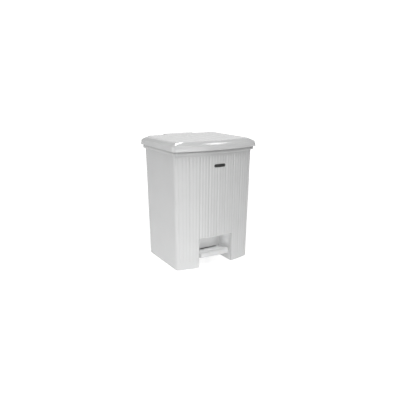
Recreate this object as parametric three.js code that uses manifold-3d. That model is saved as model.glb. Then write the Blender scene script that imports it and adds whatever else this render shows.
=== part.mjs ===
// Pedal trash can: a tapered outer shell with a bowed front, an inner bucket and a hinged lid.
// The pedal is a lever that lifts a push rod at the rear, and the rod lifts the lid.
// Millimetres. +Z up, the front faces -Y, X = 0 is the middle plane, and the floor is Z = 0.
// Y = 0 is halfway between the lid's front edge and the hinge's rear edge.
import * as THREE from "three";
import { mergeVertices } from "three/addons/utils/BufferGeometryUtils.js";
import Module from "manifold-3d";

const wasm = await Module();
wasm.setup();

// Plan sizes of the body, the rim and the lid: half width, rear edge, front corner, bow, corner radius.
const BOW = 21.6;
const PLAN = {
  shellBottom: { half: 126.3, rear: 85.4, front: -94, bow: BOW, corner: 8 },
  shellTop: { half: 131.3, rear: 92.1, front: -100.7, bow: BOW, corner: 8 },
  rim: { half: 137.5, rear: 98.3, front: -107.5, bow: BOW, corner: 11 },
  skirtBottom: { half: 141.8, rear: 105.5, front: -114.4, bow: BOW, corner: 12 },
  skirtTop: { half: 139.6, rear: 104.2, front: -112, bow: BOW, corner: 12 },
  shoulder: { half: 131, rear: 102.4, front: -107.6, bow: 17, corner: 14 },
  plate: { half: 119.1, rear: 100.3, front: -104, bow: 14, corner: 16 },
  bucketBottom: { half: 112, rear: 75, front: -82, bow: 19, corner: 22 },
  bucketTop: { half: 123.5, rear: 85.5, front: -94, bow: 20, corner: 16 },
  bucketRim: { half: 134, rear: 91.5, front: -103.5, bow: BOW, corner: 16 },
};

// Heights.
const SHELL_BOTTOM = 2;
const RIM_BOTTOM = 345;
const RIM_TOP = 354.5;
const SKIRT_BOTTOM = 355.4;
const SKIRT_TOP = 370;
const SHOULDER_Z = 374.8;
const LID_TOP = 380;
const PLATE_BOTTOM = 5;
const PLATE_TOP = 8;
const BUCKET_BOTTOM = 99.5;
const BUCKET_TOP = 357;

// Wall thicknesses, the gap that separates touching pieces, and how far a cutting tool runs past a face.
const SHELL_WALL = 2.5;
const LID_WALL = 2.3;
const BUCKET_WALL = 2;
const RIM_WALL = 2.3;
const GAP = 0.3;
const PAST = 1;
// A Y that lies in front of the whole object.
const AHEAD = -150;

// Pedal recess in the front of the shell.
const RECESS = { half: 56.8, back: -42.8, top: 93 };
const RECESS_SLOT = { half: 46, bottom: 12, top: 37 };

// Rear column: a U-shaped channel for the push rod, with the ears of the lid hinge.
const COLUMN = { half: 47, wall: 3, back: 129, rear: 131.5, top: 354, floorTop: 4.5 };
const REAR_SLOT = { half: 13, bottom: 7, top: 58 };
// The Y range in which the shell's sloping rear wall lies.
const REAR_WALL = { inside: 80, outside: 96 };

// Lid hinge, and the linkage from the pedal to the lid.
const LID_TRAVEL = THREE.MathUtils.degToRad(75);
const PEDAL_TRAVEL = THREE.MathUtils.degToRad(15);
const HINGE = { y: 124, z: 368, barrel: 12, barrelInner: 9.7, knuckleInset: 0.4, ear: 8 };
const CRANK_RADIUS = 24;
const CRANK_PIN = {
  y: HINGE.y - CRANK_RADIUS * Math.cos(LID_TRAVEL / 2),
  z: HINGE.z - CRANK_RADIUS * Math.sin(LID_TRAVEL / 2),
};
const ROD_Y = 102.5;
const ROD_RISE = 2 * CRANK_RADIUS * Math.sin(LID_TRAVEL / 2);
const LEVER_REAR = ROD_RISE / (2 * Math.sin(PEDAL_TRAVEL / 2));
const PIVOT = { y: ROD_Y - (LEVER_REAR * (1 + Math.cos(PEDAL_TRAVEL / 2))) / 2, z: 32 };
const LEVER_EYE = { y: ROD_Y, z: PIVOT.z - LEVER_REAR * Math.sin(PEDAL_TRAVEL / 2) };
const TONGUE = { half: 50, side: 2.3, front: 98, barrelHalf: 43.5, knuckle: 38, bottom: 357 };
const PIN_RADIUS = 2.5;
const PIN_HOLE = 2.8;
const PIN_HEAD = { radius: 4.2, reach: 2 };

// Pedal tread: a plate that slopes down to the rear, with lips at the front and the sides.
const TREAD = {
  half: 50,
  front: -109.3,
  rear: -50,
  frontTop: 45,
  slope: 0.175,
  lip: 15,
  lipFlat: 8,
  rearLip: 6,
  wall: 2.5,
};

const materials = {
  shell: plastic(0xdcdddd, 0.42),
  lid: plastic(0xe2e3e3, 0.4),
  tread: plastic(0xe4e4e3, 0.45),
  base: plastic(0xb9bbbc, 0.6),
  bucket: plastic(0xc9cbcc, 0.5),
  rubber: new THREE.MeshStandardMaterial({ color: 0x3a3b3c, roughness: 0.85, metalness: 0 }),
  steel: new THREE.MeshStandardMaterial({ color: 0xb4b7ba, roughness: 0.35, metalness: 1 }),
};

function plastic(color, roughness) {
  return new THREE.MeshStandardMaterial({ color, roughness, metalness: 0 });
}

// ---- Solids ----

function solid(geometry) {
  const bare = geometry.index ? geometry.toNonIndexed() : geometry.clone();
  bare.deleteAttribute("normal");
  bare.deleteAttribute("uv");
  const merged = mergeVertices(bare, 1e-4);
  return new wasm.Manifold(
    new wasm.Mesh({
      numProp: 3,
      vertProperties: new Float32Array(merged.attributes.position.array),
      triVerts: new Uint32Array(merged.index.array),
    }),
  );
}

function joined(...parts) {
  return parts.reduce((total, part) => total.add(part));
}

function cutBy(body, ...tools) {
  return tools.reduce((rest, tool) => rest.subtract(tool), body);
}

function box(x0, x1, y0, y1, z0, z1) {
  const geometry = new THREE.BoxGeometry(x1 - x0, y1 - y0, z1 - z0);
  geometry.translate((x0 + x1) / 2, (y0 + y1) / 2, (z0 + z1) / 2);
  return solid(geometry);
}

function rodX(x0, x1, y, z, radius, sides = 20) {
  const geometry = new THREE.CylinderGeometry(radius, radius, x1 - x0, sides);
  geometry.rotateZ(-Math.PI / 2);
  geometry.translate((x0 + x1) / 2, y, z);
  return solid(geometry);
}

function rodY(x, y0, y1, z, radius, sides = 16) {
  const geometry = new THREE.CylinderGeometry(radius, radius, y1 - y0, sides);
  geometry.translate(x, (y0 + y1) / 2, z);
  return solid(geometry);
}

function rodZ(x, y, z0, z1, radius, sides = 16) {
  const geometry = new THREE.CylinderGeometry(radius, radius, z1 - z0, sides);
  geometry.rotateX(Math.PI / 2);
  geometry.translate(x, y, (z0 + z1) / 2);
  return solid(geometry);
}

// A side profile of [y, z] points, extruded along X.
function slabX(x0, x1, points) {
  const isShape = points instanceof THREE.Shape;
  const shape = isShape ? points : new THREE.Shape(points.map(([y, z]) => new THREE.Vector2(y, z)));
  const settings = { depth: x1 - x0, bevelEnabled: false, curveSegments: 12 };
  const geometry = new THREE.ExtrudeGeometry(shape, settings);
  // The shape's own X and Y become the object's Y and Z, and the depth becomes X.
  geometry.applyMatrix4(new THREE.Matrix4().set(0, 0, 1, x0, 1, 0, 0, 0, 0, 1, 0, 0, 0, 0, 0, 1));
  return solid(geometry);
}

// A lathe profile about Z.
function turned(profile, sides) {
  const geometry = new THREE.LatheGeometry(profile, sides);
  geometry.rotateX(Math.PI / 2);
  return solid(geometry);
}

// The same shape on the right (side 1) and on the left (side -1).
function mirrored(make) {
  return [make(1), make(-1)];
}

// The X range between two distances from the middle plane, on one side.
function spanX(side, near, far) {
  return side > 0 ? [near, far] : [-far, -near];
}

// ---- Plan outlines and lofts ----

function inset(plan, distance) {
  return {
    half: plan.half - distance,
    rear: plan.rear - distance,
    front: plan.front + distance,
    bow: plan.bow,
    corner: Math.max(plan.corner - distance, 2),
  };
}

function mixPlan(low, high, share) {
  const mix = (key) => [key, THREE.MathUtils.lerp(low[key], high[key], share)];
  return Object.fromEntries(Object.keys(low).map(mix));
}

const CORNER_STEPS = 4;
const FRONT_STEPS = 12;
// The rear corners are tighter than the front ones.
const REAR_CORNER = 0.5;

// Counter-clockwise outline seen from above: a rectangle with round corners and a bowed front.
function outline(plan) {
  const { half, rear, corner } = plan;
  const rearCorner = corner * REAR_CORNER;
  const frontAt = (x) => plan.front - plan.bow * (1 - (x / half) ** 2);
  const frontHalf = half - corner;
  const frontEnd = new THREE.Vector2(frontHalf, frontAt(frontHalf));
  const frontCorner = new THREE.Vector2(half, plan.front);
  const points = [];
  const curve = (from, control, to) => {
    points.push(...new THREE.QuadraticBezierCurve(from, control, to).getPoints(CORNER_STEPS));
  };
  curve(frontEnd, frontCorner, new THREE.Vector2(half, plan.front + corner));
  curve(
    new THREE.Vector2(half, rear - rearCorner),
    new THREE.Vector2(half, rear),
    new THREE.Vector2(half - rearCorner, rear),
  );
  curve(
    new THREE.Vector2(rearCorner - half, rear),
    new THREE.Vector2(-half, rear),
    new THREE.Vector2(-half, rear - rearCorner),
  );
  curve(
    new THREE.Vector2(-half, plan.front + corner),
    new THREE.Vector2(-half, plan.front),
    new THREE.Vector2(-frontHalf, frontEnd.y),
  );
  for (let step = 1; step < FRONT_STEPS; step += 1) {
    const x = THREE.MathUtils.lerp(-frontHalf, frontHalf, step / FRONT_STEPS);
    points.push(new THREE.Vector2(x, frontAt(x)));
  }
  return points;
}

// A closed solid through plan outlines at rising heights.
function loft(levels) {
  const rings = levels.map(([z, plan]) => outline(plan).map((point) => [point.x, point.y, z]));
  const count = rings[0].length;
  const index = [];
  for (let level = 0; level + 1 < rings.length; level += 1) {
    for (let i = 0; i < count; i += 1) {
      const a = level * count + i;
      const b = level * count + ((i + 1) % count);
      index.push(a, b, b + count, a, b + count, a + count);
    }
  }
  const cap = (ring) => THREE.ShapeUtils.triangulateShape(ring.map(([x, y]) => new THREE.Vector2(x, y)), []);
  const last = (rings.length - 1) * count;
  cap(rings[0]).forEach(([a, b, c]) => index.push(a, c, b));
  cap(rings.at(-1)).forEach(([a, b, c]) => index.push(last + a, last + b, last + c));
  const geometry = new THREE.BufferGeometry();
  geometry.setAttribute("position", new THREE.Float32BufferAttribute(rings.flat(2), 3));
  geometry.setIndex(index);
  return solid(geometry);
}

// The shell's outline at a height, on its way from the bottom to the rim.
function shellPlan(z) {
  return mixPlan(PLAN.shellBottom, PLAN.shellTop, (z - SHELL_BOTTOM) / (RIM_BOTTOM - SHELL_BOTTOM));
}

// ---- Outer shell ----

const BOSS = { x: 118.6, front: -74, rear: 62, radius: 6, top: 26, screwHole: 1.8, holeTop: 22 };
const BASE_SCREW = { head: 3.6, headBottom: 2.9, shank: 1.5, tip: 20, clearance: 2.1 };

// Name, X and Y of each screw of the base plate.
const BASE_SCREWS = [
  ["base_screw_front_left", -BOSS.x, BOSS.front],
  ["base_screw_front_right", BOSS.x, BOSS.front],
  ["base_screw_rear_left", -BOSS.x, BOSS.rear],
  ["base_screw_rear_right", BOSS.x, BOSS.rear],
];
// Posts of the rear column that meet the shell's rear wall. Name, X and Z of each screw.
const POST = { x: 28, low: 70, high: 300, radius: 5, screwHole: 1.6, holeDepth: 16 };
const COLUMN_SCREW = { head: 3.6, headDepth: 2, shank: 1.3, length: 15, clearance: 1.9 };
const COLUMN_SCREWS = [
  ["column_screw_lower_left", -POST.x, POST.low],
  ["column_screw_lower_right", POST.x, POST.low],
  ["column_screw_upper_left", -POST.x, POST.high],
  ["column_screw_upper_right", POST.x, POST.high],
];

function outerShell() {
  const outer = loft([
    [SHELL_BOTTOM, PLAN.shellBottom],
    [RIM_BOTTOM, PLAN.shellTop],
    [RIM_TOP, PLAN.shellTop],
  ]);
  const rimTopPlate = RIM_TOP - RIM_WALL;
  const columnHalf = COLUMN.half + 2 * GAP;
  const { rear: wallRear } = PLAN.shellTop;
  const rim = cutBy(
    loft([
      [RIM_BOTTOM, PLAN.rim],
      [RIM_TOP, PLAN.rim],
    ]),
    loft([
      [RIM_BOTTOM - PAST, inset(PLAN.rim, RIM_WALL)],
      [rimTopPlate, inset(PLAN.rim, RIM_WALL)],
    ]),
    box(-columnHalf, columnHalf, wallRear - PAST, PLAN.rim.rear + PAST, RIM_BOTTOM - PAST, RIM_TOP + PAST),
  );
  const cavity = loft([
    [SHELL_BOTTOM - PAST, inset(shellPlan(SHELL_BOTTOM - PAST), SHELL_WALL)],
    [RIM_BOTTOM, inset(PLAN.shellTop, SHELL_WALL)],
    [RIM_TOP + PAST, inset(PLAN.shellTop, SHELL_WALL)],
  ]);
  const walls = cutBy(joined(outer, rim), cavity);
  const pocket = box(
    -RECESS.half - SHELL_WALL,
    RECESS.half + SHELL_WALL,
    PLAN.shellTop.front - BOW,
    RECESS.back + SHELL_WALL,
    SHELL_BOTTOM,
    RECESS.top + SHELL_WALL,
  ).intersect(outer);
  const bosses = BASE_SCREWS.map(([, x, y]) => rodZ(x, y, PLATE_TOP + GAP, BOSS.top, BOSS.radius));
  const bossHoles = BASE_SCREWS.map(([, x, y]) => rodZ(x, y, SHELL_BOTTOM, BOSS.holeTop, BOSS.screwHole, 12));
  const { inside, outside } = REAR_WALL;
  const screwHoles = COLUMN_SCREWS.map(([, x, z]) => rodY(x, inside, outside, z, COLUMN_SCREW.clearance, 12));
  const slotRear = RECESS.back + SHELL_WALL + PAST;
  const { half: slotHalf, bottom: slotBottom, top: slotTop } = RECESS_SLOT;
  return cutBy(
    joined(walls, pocket, ...bosses),
    box(-RECESS.half, RECESS.half, AHEAD, RECESS.back, SHELL_BOTTOM - PAST, RECESS.top),
    box(-slotHalf, slotHalf, RECESS.back - PAST, slotRear, slotBottom, slotTop),
    box(-REAR_SLOT.half, REAR_SLOT.half, inside, outside, REAR_SLOT.bottom, REAR_SLOT.top),
    ...bossHoles,
    ...screwHoles,
  );
}

// ---- Base ----

const BEARING = { inner: 34, outer: 40, wall: 7, hole: 3.3, foot: 9, footTop: 14 };
// The gap round the base plate, and the chamfer of its lower edge.
const PLATE_FIT = { gap: 0.5, chamfer: 0.3 };
const AXLE = { radius: 3, half: 46, capRadius: 5.5, capWall: 2 };
const FOOT = { x: 95, front: -66, rear: 58, radius: 10, bottomRadius: 8.6, chamfer: 1.4 };
const PEG = { radius: 3, top: PLATE_TOP + 0.5, hole: 3.3 };
const FEET = [
  ["foot_front_left", -FOOT.x, FOOT.front],
  ["foot_front_right", FOOT.x, FOOT.front],
  ["foot_rear_left", -FOOT.x, FOOT.rear],
  ["foot_rear_right", FOOT.x, FOOT.rear],
];

function basePlate() {
  const plan = inset(shellPlan(PLATE_TOP), SHELL_WALL + PLATE_FIT.gap);
  const plate = loft([
    [PLATE_BOTTOM, inset(plan, PLATE_FIT.chamfer)],
    [PLATE_TOP, plan],
  ]);
  const recessHalf = RECESS.half + SHELL_WALL + PLATE_FIT.gap;
  const recessRear = RECESS.back + SHELL_WALL + PLATE_FIT.gap;
  const blocks = mirrored((side) => {
    const [x0, x1] = spanX(side, BEARING.inner, BEARING.outer);
    return joined(
      rodX(x0, x1, PIVOT.y, PIVOT.z, BEARING.wall),
      box(x0, x1, PIVOT.y - BEARING.foot, PIVOT.y + BEARING.foot, PLATE_TOP - PAST, BEARING.footTop),
      box(x0, x1, PIVOT.y - BEARING.wall, PIVOT.y + BEARING.wall, PLATE_TOP - PAST, PIVOT.z),
    );
  });
  const holes = (places, radius) =>
    places.map(([, x, y]) => rodZ(x, y, PLATE_BOTTOM - PAST, PLATE_TOP + PAST, radius, 12));
  return cutBy(
    joined(plate, ...blocks),
    box(-recessHalf, recessHalf, AHEAD, recessRear, 0, PLATE_TOP + PAST),
    rodX(-AXLE.half, AXLE.half, PIVOT.y, PIVOT.z, BEARING.hole),
    ...holes(BASE_SCREWS, BASE_SCREW.clearance),
    ...holes(FEET, PEG.hole),
  );
}

function foot(x, y) {
  const profile = [
    new THREE.Vector2(0, 0),
    new THREE.Vector2(FOOT.bottomRadius, 0),
    new THREE.Vector2(FOOT.radius, FOOT.chamfer),
    new THREE.Vector2(FOOT.radius, PLATE_BOTTOM - GAP),
    new THREE.Vector2(PEG.radius, PLATE_BOTTOM - GAP),
    new THREE.Vector2(PEG.radius, PEG.top),
    new THREE.Vector2(0, PEG.top),
  ];
  return turned(profile, 20).translate([x, y, 0]);
}

function baseScrew(x, y) {
  return joined(
    rodZ(x, y, BASE_SCREW.headBottom, PLATE_BOTTOM - GAP, BASE_SCREW.head, 14),
    rodZ(x, y, BASE_SCREW.headBottom + PAST, BASE_SCREW.tip, BASE_SCREW.shank, 10),
  );
}

// ---- Rear column ----

// A cheek follows the shell's sloping rear wall and ends in an ear round the hinge axis.
function cheekProfile() {
  const wallAt = (z) => shellPlan(Math.min(z, RIM_BOTTOM)).rear + GAP;
  const shape = new THREE.Shape();
  shape.moveTo(wallAt(SHELL_BOTTOM), SHELL_BOTTOM);
  shape.lineTo(COLUMN.back + 1, SHELL_BOTTOM);
  shape.lineTo(COLUMN.back + 1, HINGE.z - HINGE.ear - 4);
  shape.absarc(HINGE.y, HINGE.z, HINGE.ear, -0.2 * Math.PI, Math.PI, false);
  shape.lineTo(HINGE.y - HINGE.ear, HINGE.z - HINGE.ear);
  shape.lineTo(ROD_Y, RIM_TOP);
  shape.lineTo(wallAt(RIM_TOP), RIM_TOP);
  shape.lineTo(wallAt(RIM_BOTTOM), RIM_BOTTOM);
  shape.closePath();
  return shape;
}

function rearColumn() {
  const innerHalf = COLUMN.half - COLUMN.wall;
  const cheeks = mirrored((side) => slabX(...spanX(side, innerHalf, COLUMN.half), cheekProfile()));
  const back = box(-COLUMN.half, COLUMN.half, COLUMN.back, COLUMN.rear, SHELL_BOTTOM, COLUMN.top);
  const floorFront = shellPlan(COLUMN.floorTop).rear + GAP;
  const floor = box(-COLUMN.half, COLUMN.half, floorFront, COLUMN.back + PAST, SHELL_BOTTOM, COLUMN.floorTop);
  const postFront = (z) => shellPlan(z + POST.radius).rear + GAP;
  const posts = COLUMN_SCREWS.map(([, x, z]) => rodY(x, postFront(z), COLUMN.back + PAST, z, POST.radius));
  const hole = (x, front, z) => rodY(x, front - PAST, front + POST.holeDepth, z, POST.screwHole, 12);
  const holes = COLUMN_SCREWS.map(([, x, z]) => hole(x, postFront(z), z));
  return cutBy(
    joined(...cheeks, back, floor, ...posts),
    rodX(-COLUMN.half - PAST, COLUMN.half + PAST, HINGE.y, HINGE.z, PIN_HOLE),
    ...holes,
  );
}

// A screw whose head is inside the shell, on its rear wall.
function columnScrew(x, z) {
  const { head, headDepth, shank, length } = COLUMN_SCREW;
  const wallFace = shellPlan(z - head).rear - SHELL_WALL - GAP;
  return joined(
    rodY(x, wallFace - headDepth, wallFace, z, head, 14),
    rodY(x, wallFace - headDepth / 2, wallFace + length, z, shank, 10),
  );
}

const GUIDE = { half: 9, height: 12, rear: 112, slot: 2.9, flangeHalf: 18, flange: 2.5, low: 120, high: 255 };

// A block with an open slot that keeps the rod upright.
function rodGuide(z) {
  const wallFace = shellPlan(z + GUIDE.height).rear + GAP;
  const slotFront = ROD_Y - GUIDE.slot - 2 * GAP;
  return cutBy(
    joined(
      box(-GUIDE.half, GUIDE.half, wallFace, GUIDE.rear, z, z + GUIDE.height),
      box(-GUIDE.flangeHalf, GUIDE.flangeHalf, wallFace, wallFace + GUIDE.flange, z, z + GUIDE.height),
    ),
    box(-GUIDE.slot, GUIDE.slot, slotFront, GUIDE.rear + PAST, z - PAST, z + GUIDE.height + PAST),
  );
}

// ---- Push rod ----

const ROD = { radius: 2.5, eye: 6, eyeHalf: 2, eyeHole: 2.3, sunk: 1.5 };
const ROD_PIN = { radius: 2, half: 11.5, head: 3.2, headDepth: 1.2 };

function pushRod() {
  const eyes = [LEVER_EYE.z, CRANK_PIN.z].map((z) => rodX(-ROD.eyeHalf, ROD.eyeHalf, ROD_Y, z, ROD.eye));
  const holeHalf = ROD.eyeHalf + PAST;
  const holes = [LEVER_EYE.z, CRANK_PIN.z].map((z) => rodX(-holeHalf, holeHalf, ROD_Y, z, ROD.eyeHole, 16));
  const reach = ROD.eye - ROD.sunk;
  const shank = rodZ(0, ROD_Y, LEVER_EYE.z + reach, CRANK_PIN.z - reach, ROD.radius, 14);
  return cutBy(joined(shank, ...eyes), ...holes);
}

function rodPin(z) {
  const { radius, half, head, headDepth } = ROD_PIN;
  const heads = mirrored((side) => rodX(...spanX(side, half - headDepth, half), ROD_Y, z, head, 16));
  return joined(rodX(-half, half, ROD_Y, z, radius, 16), ...heads);
}

// ---- Pedal ----

const LEVER = {
  half: 10,
  wall: 2,
  front: -100,
  frontDepth: 8,
  kneeY: -60,
  kneeZ: 23,
  shoulderY: -40,
  pivotBelow: 8,
  pivotAbove: 7,
  pivotLength: 8,
  tube: 6,
  tubeHalf: 33,
  eyeRadius: 7,
  eyeHole: 3.1,
  eyeWall: 12,
};

function treadTop(y) {
  return TREAD.frontTop - (y - TREAD.front) * TREAD.slope;
}

function pedalTread() {
  const profile = (inner) => {
    const rear = TREAD.rear - inner;
    const front = TREAD.front + inner;
    return [
      [front, TREAD.frontTop - TREAD.lip - inner],
      [front + TREAD.lipFlat, TREAD.frontTop - TREAD.lip - inner],
      [rear, treadTop(TREAD.rear) - TREAD.rearLip - inner],
      [rear, treadTop(rear) - inner],
      [front, treadTop(front) - inner],
    ];
  };
  return cutBy(
    slabX(-TREAD.half, TREAD.half, profile(0)),
    slabX(TREAD.wall - TREAD.half, TREAD.half - TREAD.wall, profile(TREAD.wall)),
    box(
      -LEVER.half - PAST,
      LEVER.half + PAST,
      TREAD.rear - 2 * TREAD.wall,
      TREAD.rear + PAST,
      LEVER.eyeRadius,
      treadTop(TREAD.rear) - TREAD.wall,
    ),
  );
}

function leverProfile() {
  const under = (y) => treadTop(y) - TREAD.wall - 1;
  const shape = new THREE.Shape();
  shape.moveTo(LEVER.front, under(LEVER.front) - LEVER.frontDepth);
  shape.lineTo(LEVER.kneeY, LEVER.kneeZ);
  shape.lineTo(PIVOT.y, PIVOT.z - LEVER.pivotBelow);
  shape.lineTo(LEVER_EYE.y, LEVER_EYE.z - LEVER.eyeRadius);
  shape.absarc(LEVER_EYE.y, LEVER_EYE.z, LEVER.eyeRadius, -Math.PI / 2, Math.PI / 2, false);
  shape.lineTo(PIVOT.y + LEVER.pivotLength, PIVOT.z + LEVER.pivotAbove);
  shape.lineTo(PIVOT.y - LEVER.pivotLength, PIVOT.z + LEVER.pivotAbove);
  shape.lineTo(LEVER.shoulderY, under(LEVER.shoulderY));
  shape.lineTo(LEVER.front, under(LEVER.front));
  shape.closePath();
  return shape;
}

function pedalLever() {
  const { wall, half, front } = LEVER;
  const above = TREAD.frontTop;
  const behind = LEVER_EYE.y + 2 * LEVER.eyeRadius;
  const openFrom = LEVER_EYE.y - LEVER.eyeWall;
  const channel = cutBy(
    slabX(-half, half, leverProfile()),
    // The channel is open above its web, and below it round the rod's lower eye.
    slabX(wall - half, half - wall, [
      [front - PAST, above],
      [front - PAST, treadTop(front) - TREAD.wall - PAST - LEVER.frontDepth + wall],
      [LEVER.kneeY, LEVER.kneeZ + wall],
      [PIVOT.y, PIVOT.z - LEVER.pivotBelow + wall],
      [openFrom - wall, LEVER_EYE.z - LEVER.eyeRadius + 2 * wall],
      [openFrom, 0],
      [behind, 0],
      [behind, above],
    ]),
  );
  return cutBy(
    joined(channel, rodX(-LEVER.tubeHalf, LEVER.tubeHalf, PIVOT.y, PIVOT.z, LEVER.tube)),
    rodX(-LEVER.tubeHalf - PAST, LEVER.tubeHalf + PAST, PIVOT.y, PIVOT.z, BEARING.hole),
    rodX(-half - PAST, half + PAST, LEVER_EYE.y, LEVER_EYE.z, LEVER.eyeHole),
  );
}

function pedalAxle() {
  return rodX(-AXLE.half, AXLE.half, PIVOT.y, PIVOT.z, AXLE.radius);
}

function axleCap(side) {
  const inner = BEARING.outer + GAP;
  return cutBy(
    rodX(...spanX(side, inner, AXLE.half + AXLE.capWall), PIVOT.y, PIVOT.z, AXLE.capRadius, 16),
    rodX(...spanX(side, inner - PAST, AXLE.half + GAP), PIVOT.y, PIVOT.z, AXLE.radius + GAP),
  );
}

// ---- Lid ----

const BUMPER = { x: 133, y: -60, radius: 4, thickness: 3, postTop: 371, notch: 10, notchDepth: 5.5 };
const CRANK = { inner: 5, outer: 9, reach: 9, hole: 5 };

function lidLevels(distance, bottomDrop) {
  return [
    [SKIRT_BOTTOM - bottomDrop, inset(PLAN.skirtBottom, distance)],
    [SKIRT_TOP - distance / 2, inset(PLAN.skirtTop, distance)],
    [SHOULDER_Z - distance * 0.8, inset(PLAN.shoulder, distance)],
    [LID_TOP - distance, inset(PLAN.plate, distance)],
  ];
}

function tongueSideProfile() {
  const shape = new THREE.Shape();
  shape.moveTo(TONGUE.front, TONGUE.bottom);
  shape.lineTo(HINGE.y, TONGUE.bottom - 1);
  shape.absarc(HINGE.y, HINGE.z, HINGE.barrel, -Math.PI / 2, Math.PI / 2, false);
  shape.lineTo(TONGUE.front, LID_TOP);
  shape.closePath();
  return shape;
}

function crankProfile() {
  const shape = new THREE.Shape();
  shape.absarc(CRANK_PIN.y, CRANK_PIN.z, CRANK.reach, Math.PI, 2 * Math.PI, false);
  shape.lineTo(CRANK_PIN.y + CRANK.reach, LID_TOP - 1);
  shape.lineTo(CRANK_PIN.y - CRANK.reach, LID_TOP - 1);
  shape.closePath();
  return shape;
}

// The barrel is an open ring from the top round the rear to below the hinge axis.
function barrelProfile() {
  const shape = new THREE.Shape();
  shape.absarc(HINGE.y, HINGE.z, HINGE.barrel, -Math.PI / 3, Math.PI / 2, false);
  shape.absarc(HINGE.y, HINGE.z, HINGE.barrelInner, Math.PI / 2, -Math.PI / 3, true);
  shape.closePath();
  return shape;
}

function lid() {
  const cap = cutBy(loft(lidLevels(0, 0)), loft(lidLevels(LID_WALL, 1)));
  const innerHalf = TONGUE.half - TONGUE.side;
  const openFront = PLAN.plate.rear - 2 * LID_WALL;
  const roof = LID_TOP - LID_WALL;
  const skirtRear = PLAN.skirtBottom.rear + PAST;
  const open = cutBy(cap, box(-innerHalf, innerHalf, openFront, skirtRear, SKIRT_BOTTOM - 2 * PAST, roof));
  const sides = mirrored((side) => slabX(...spanX(side, innerHalf, TONGUE.half), tongueSideProfile()));
  const knuckleRadius = HINGE.barrel - HINGE.knuckleInset;
  const knuckle = (side) =>
    rodX(...spanX(side, TONGUE.knuckle, TONGUE.barrelHalf), HINGE.y, HINGE.z, knuckleRadius, 24);
  const cranks = mirrored((side) => slabX(...spanX(side, CRANK.inner, CRANK.outer), crankProfile()));
  const pinHoleSpan = [TONGUE.knuckle - PAST, TONGUE.half + PAST];
  const postBottom = RIM_TOP + GAP + BUMPER.thickness + GAP;
  const { x: postX, y: postY, postTop } = BUMPER;
  const posts = mirrored((side) => rodZ(side * postX, postY, postBottom, postTop, BUMPER.radius));
  return cutBy(
    joined(
      open,
      box(-TONGUE.half, TONGUE.half, openFront, HINGE.y, roof, LID_TOP),
      slabX(-TONGUE.barrelHalf, TONGUE.barrelHalf, barrelProfile()),
      ...sides,
      ...mirrored(knuckle),
      ...cranks,
      ...posts,
    ),
    ...mirrored((side) => rodX(...spanX(side, ...pinHoleSpan), HINGE.y, HINGE.z, PIN_HOLE)),
    rodX(-CRANK.outer - PAST, CRANK.outer + PAST, CRANK_PIN.y, CRANK_PIN.z, CRANK.hole, 24),
  );
}

function hingePin(side) {
  return joined(
    rodX(...spanX(side, TONGUE.knuckle - PAST, TONGUE.half + PAST), HINGE.y, HINGE.z, PIN_RADIUS),
    rodX(...spanX(side, TONGUE.half + GAP, TONGUE.half + PIN_HEAD.reach), HINGE.y, HINGE.z, PIN_HEAD.radius),
  );
}

function lidBumper(side) {
  const bottom = RIM_TOP + GAP;
  return rodZ(side * BUMPER.x, BUMPER.y, bottom, bottom + BUMPER.thickness, BUMPER.radius, 18);
}

// ---- Inner bucket ----

const EAR = { y: -4, z: 345, radius: 6, innerX: 116, hole: 2.8 };
const REST = { innerX: 109, front: -64, rear: -57, top: 342 };
const REST_HEIGHT = 4;
const BAIL = { radius: 2.5, armX: 112.5, endX: 120.5, front: -86, cornerRadius: 14, elbow: 4 };
const GRIP = { radius: 7.5, half: 45, bore: 2.8 };
// The slope round the bucket's floor, and the notch in its flange that clears the lid's crank.
const FLOOR_SLOPE = { inset: 3, height: 4 };
const CRANK_NOTCH_HALF = 16;
// How far the ears run into the bucket's wall.
const SUNK = 0.5;

function innerBucket() {
  const flangeBottom = RIM_TOP + GAP;
  const outer = loft([
    [BUCKET_BOTTOM, inset(PLAN.bucketBottom, FLOOR_SLOPE.inset)],
    [BUCKET_BOTTOM + FLOOR_SLOPE.height, PLAN.bucketBottom],
    [flangeBottom, PLAN.bucketTop],
  ]);
  const flange = loft([
    [flangeBottom, PLAN.bucketRim],
    [BUCKET_TOP, PLAN.bucketRim],
  ]);
  const floorTop = BUCKET_BOTTOM + BUCKET_WALL;
  const cavity = loft([
    [floorTop, inset(PLAN.bucketBottom, BUCKET_WALL + FLOOR_SLOPE.inset)],
    [floorTop + FLOOR_SLOPE.height, inset(PLAN.bucketBottom, BUCKET_WALL)],
    [flangeBottom, inset(PLAN.bucketTop, BUCKET_WALL)],
    [BUCKET_TOP + PAST, inset(PLAN.bucketTop, BUCKET_WALL)],
  ]);
  const wallX = PLAN.bucketTop.half - BUCKET_WALL + SUNK;
  const lugs = mirrored((side) => joined(
    rodX(...spanX(side, EAR.innerX, wallX), EAR.y, EAR.z, EAR.radius),
    box(...spanX(side, REST.innerX, wallX - GAP), REST.front, REST.rear, REST.top - REST_HEIGHT, REST.top),
  ));
  const low = flangeBottom - PAST;
  const high = BUCKET_TOP + PAST;
  const notchX = (side) => spanX(side, BUMPER.x - BUMPER.notchDepth, PLAN.bucketRim.half + PAST);
  const bumperNotches = mirrored((side) =>
    box(...notchX(side), BUMPER.y - BUMPER.notch, BUMPER.y + BUMPER.notch, low, high));
  const { rear: wallRear } = PLAN.bucketTop;
  return cutBy(
    joined(cutBy(joined(outer, flange), cavity), ...lugs),
    rodX(2 * SUNK - wallX, wallX - 2 * SUNK, EAR.y, EAR.z, EAR.hole),
    box(-CRANK_NOTCH_HALF, CRANK_NOTCH_HALF, wallRear, PLAN.bucketRim.rear + PAST, low, high),
    ...bumperNotches,
  );
}

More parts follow.
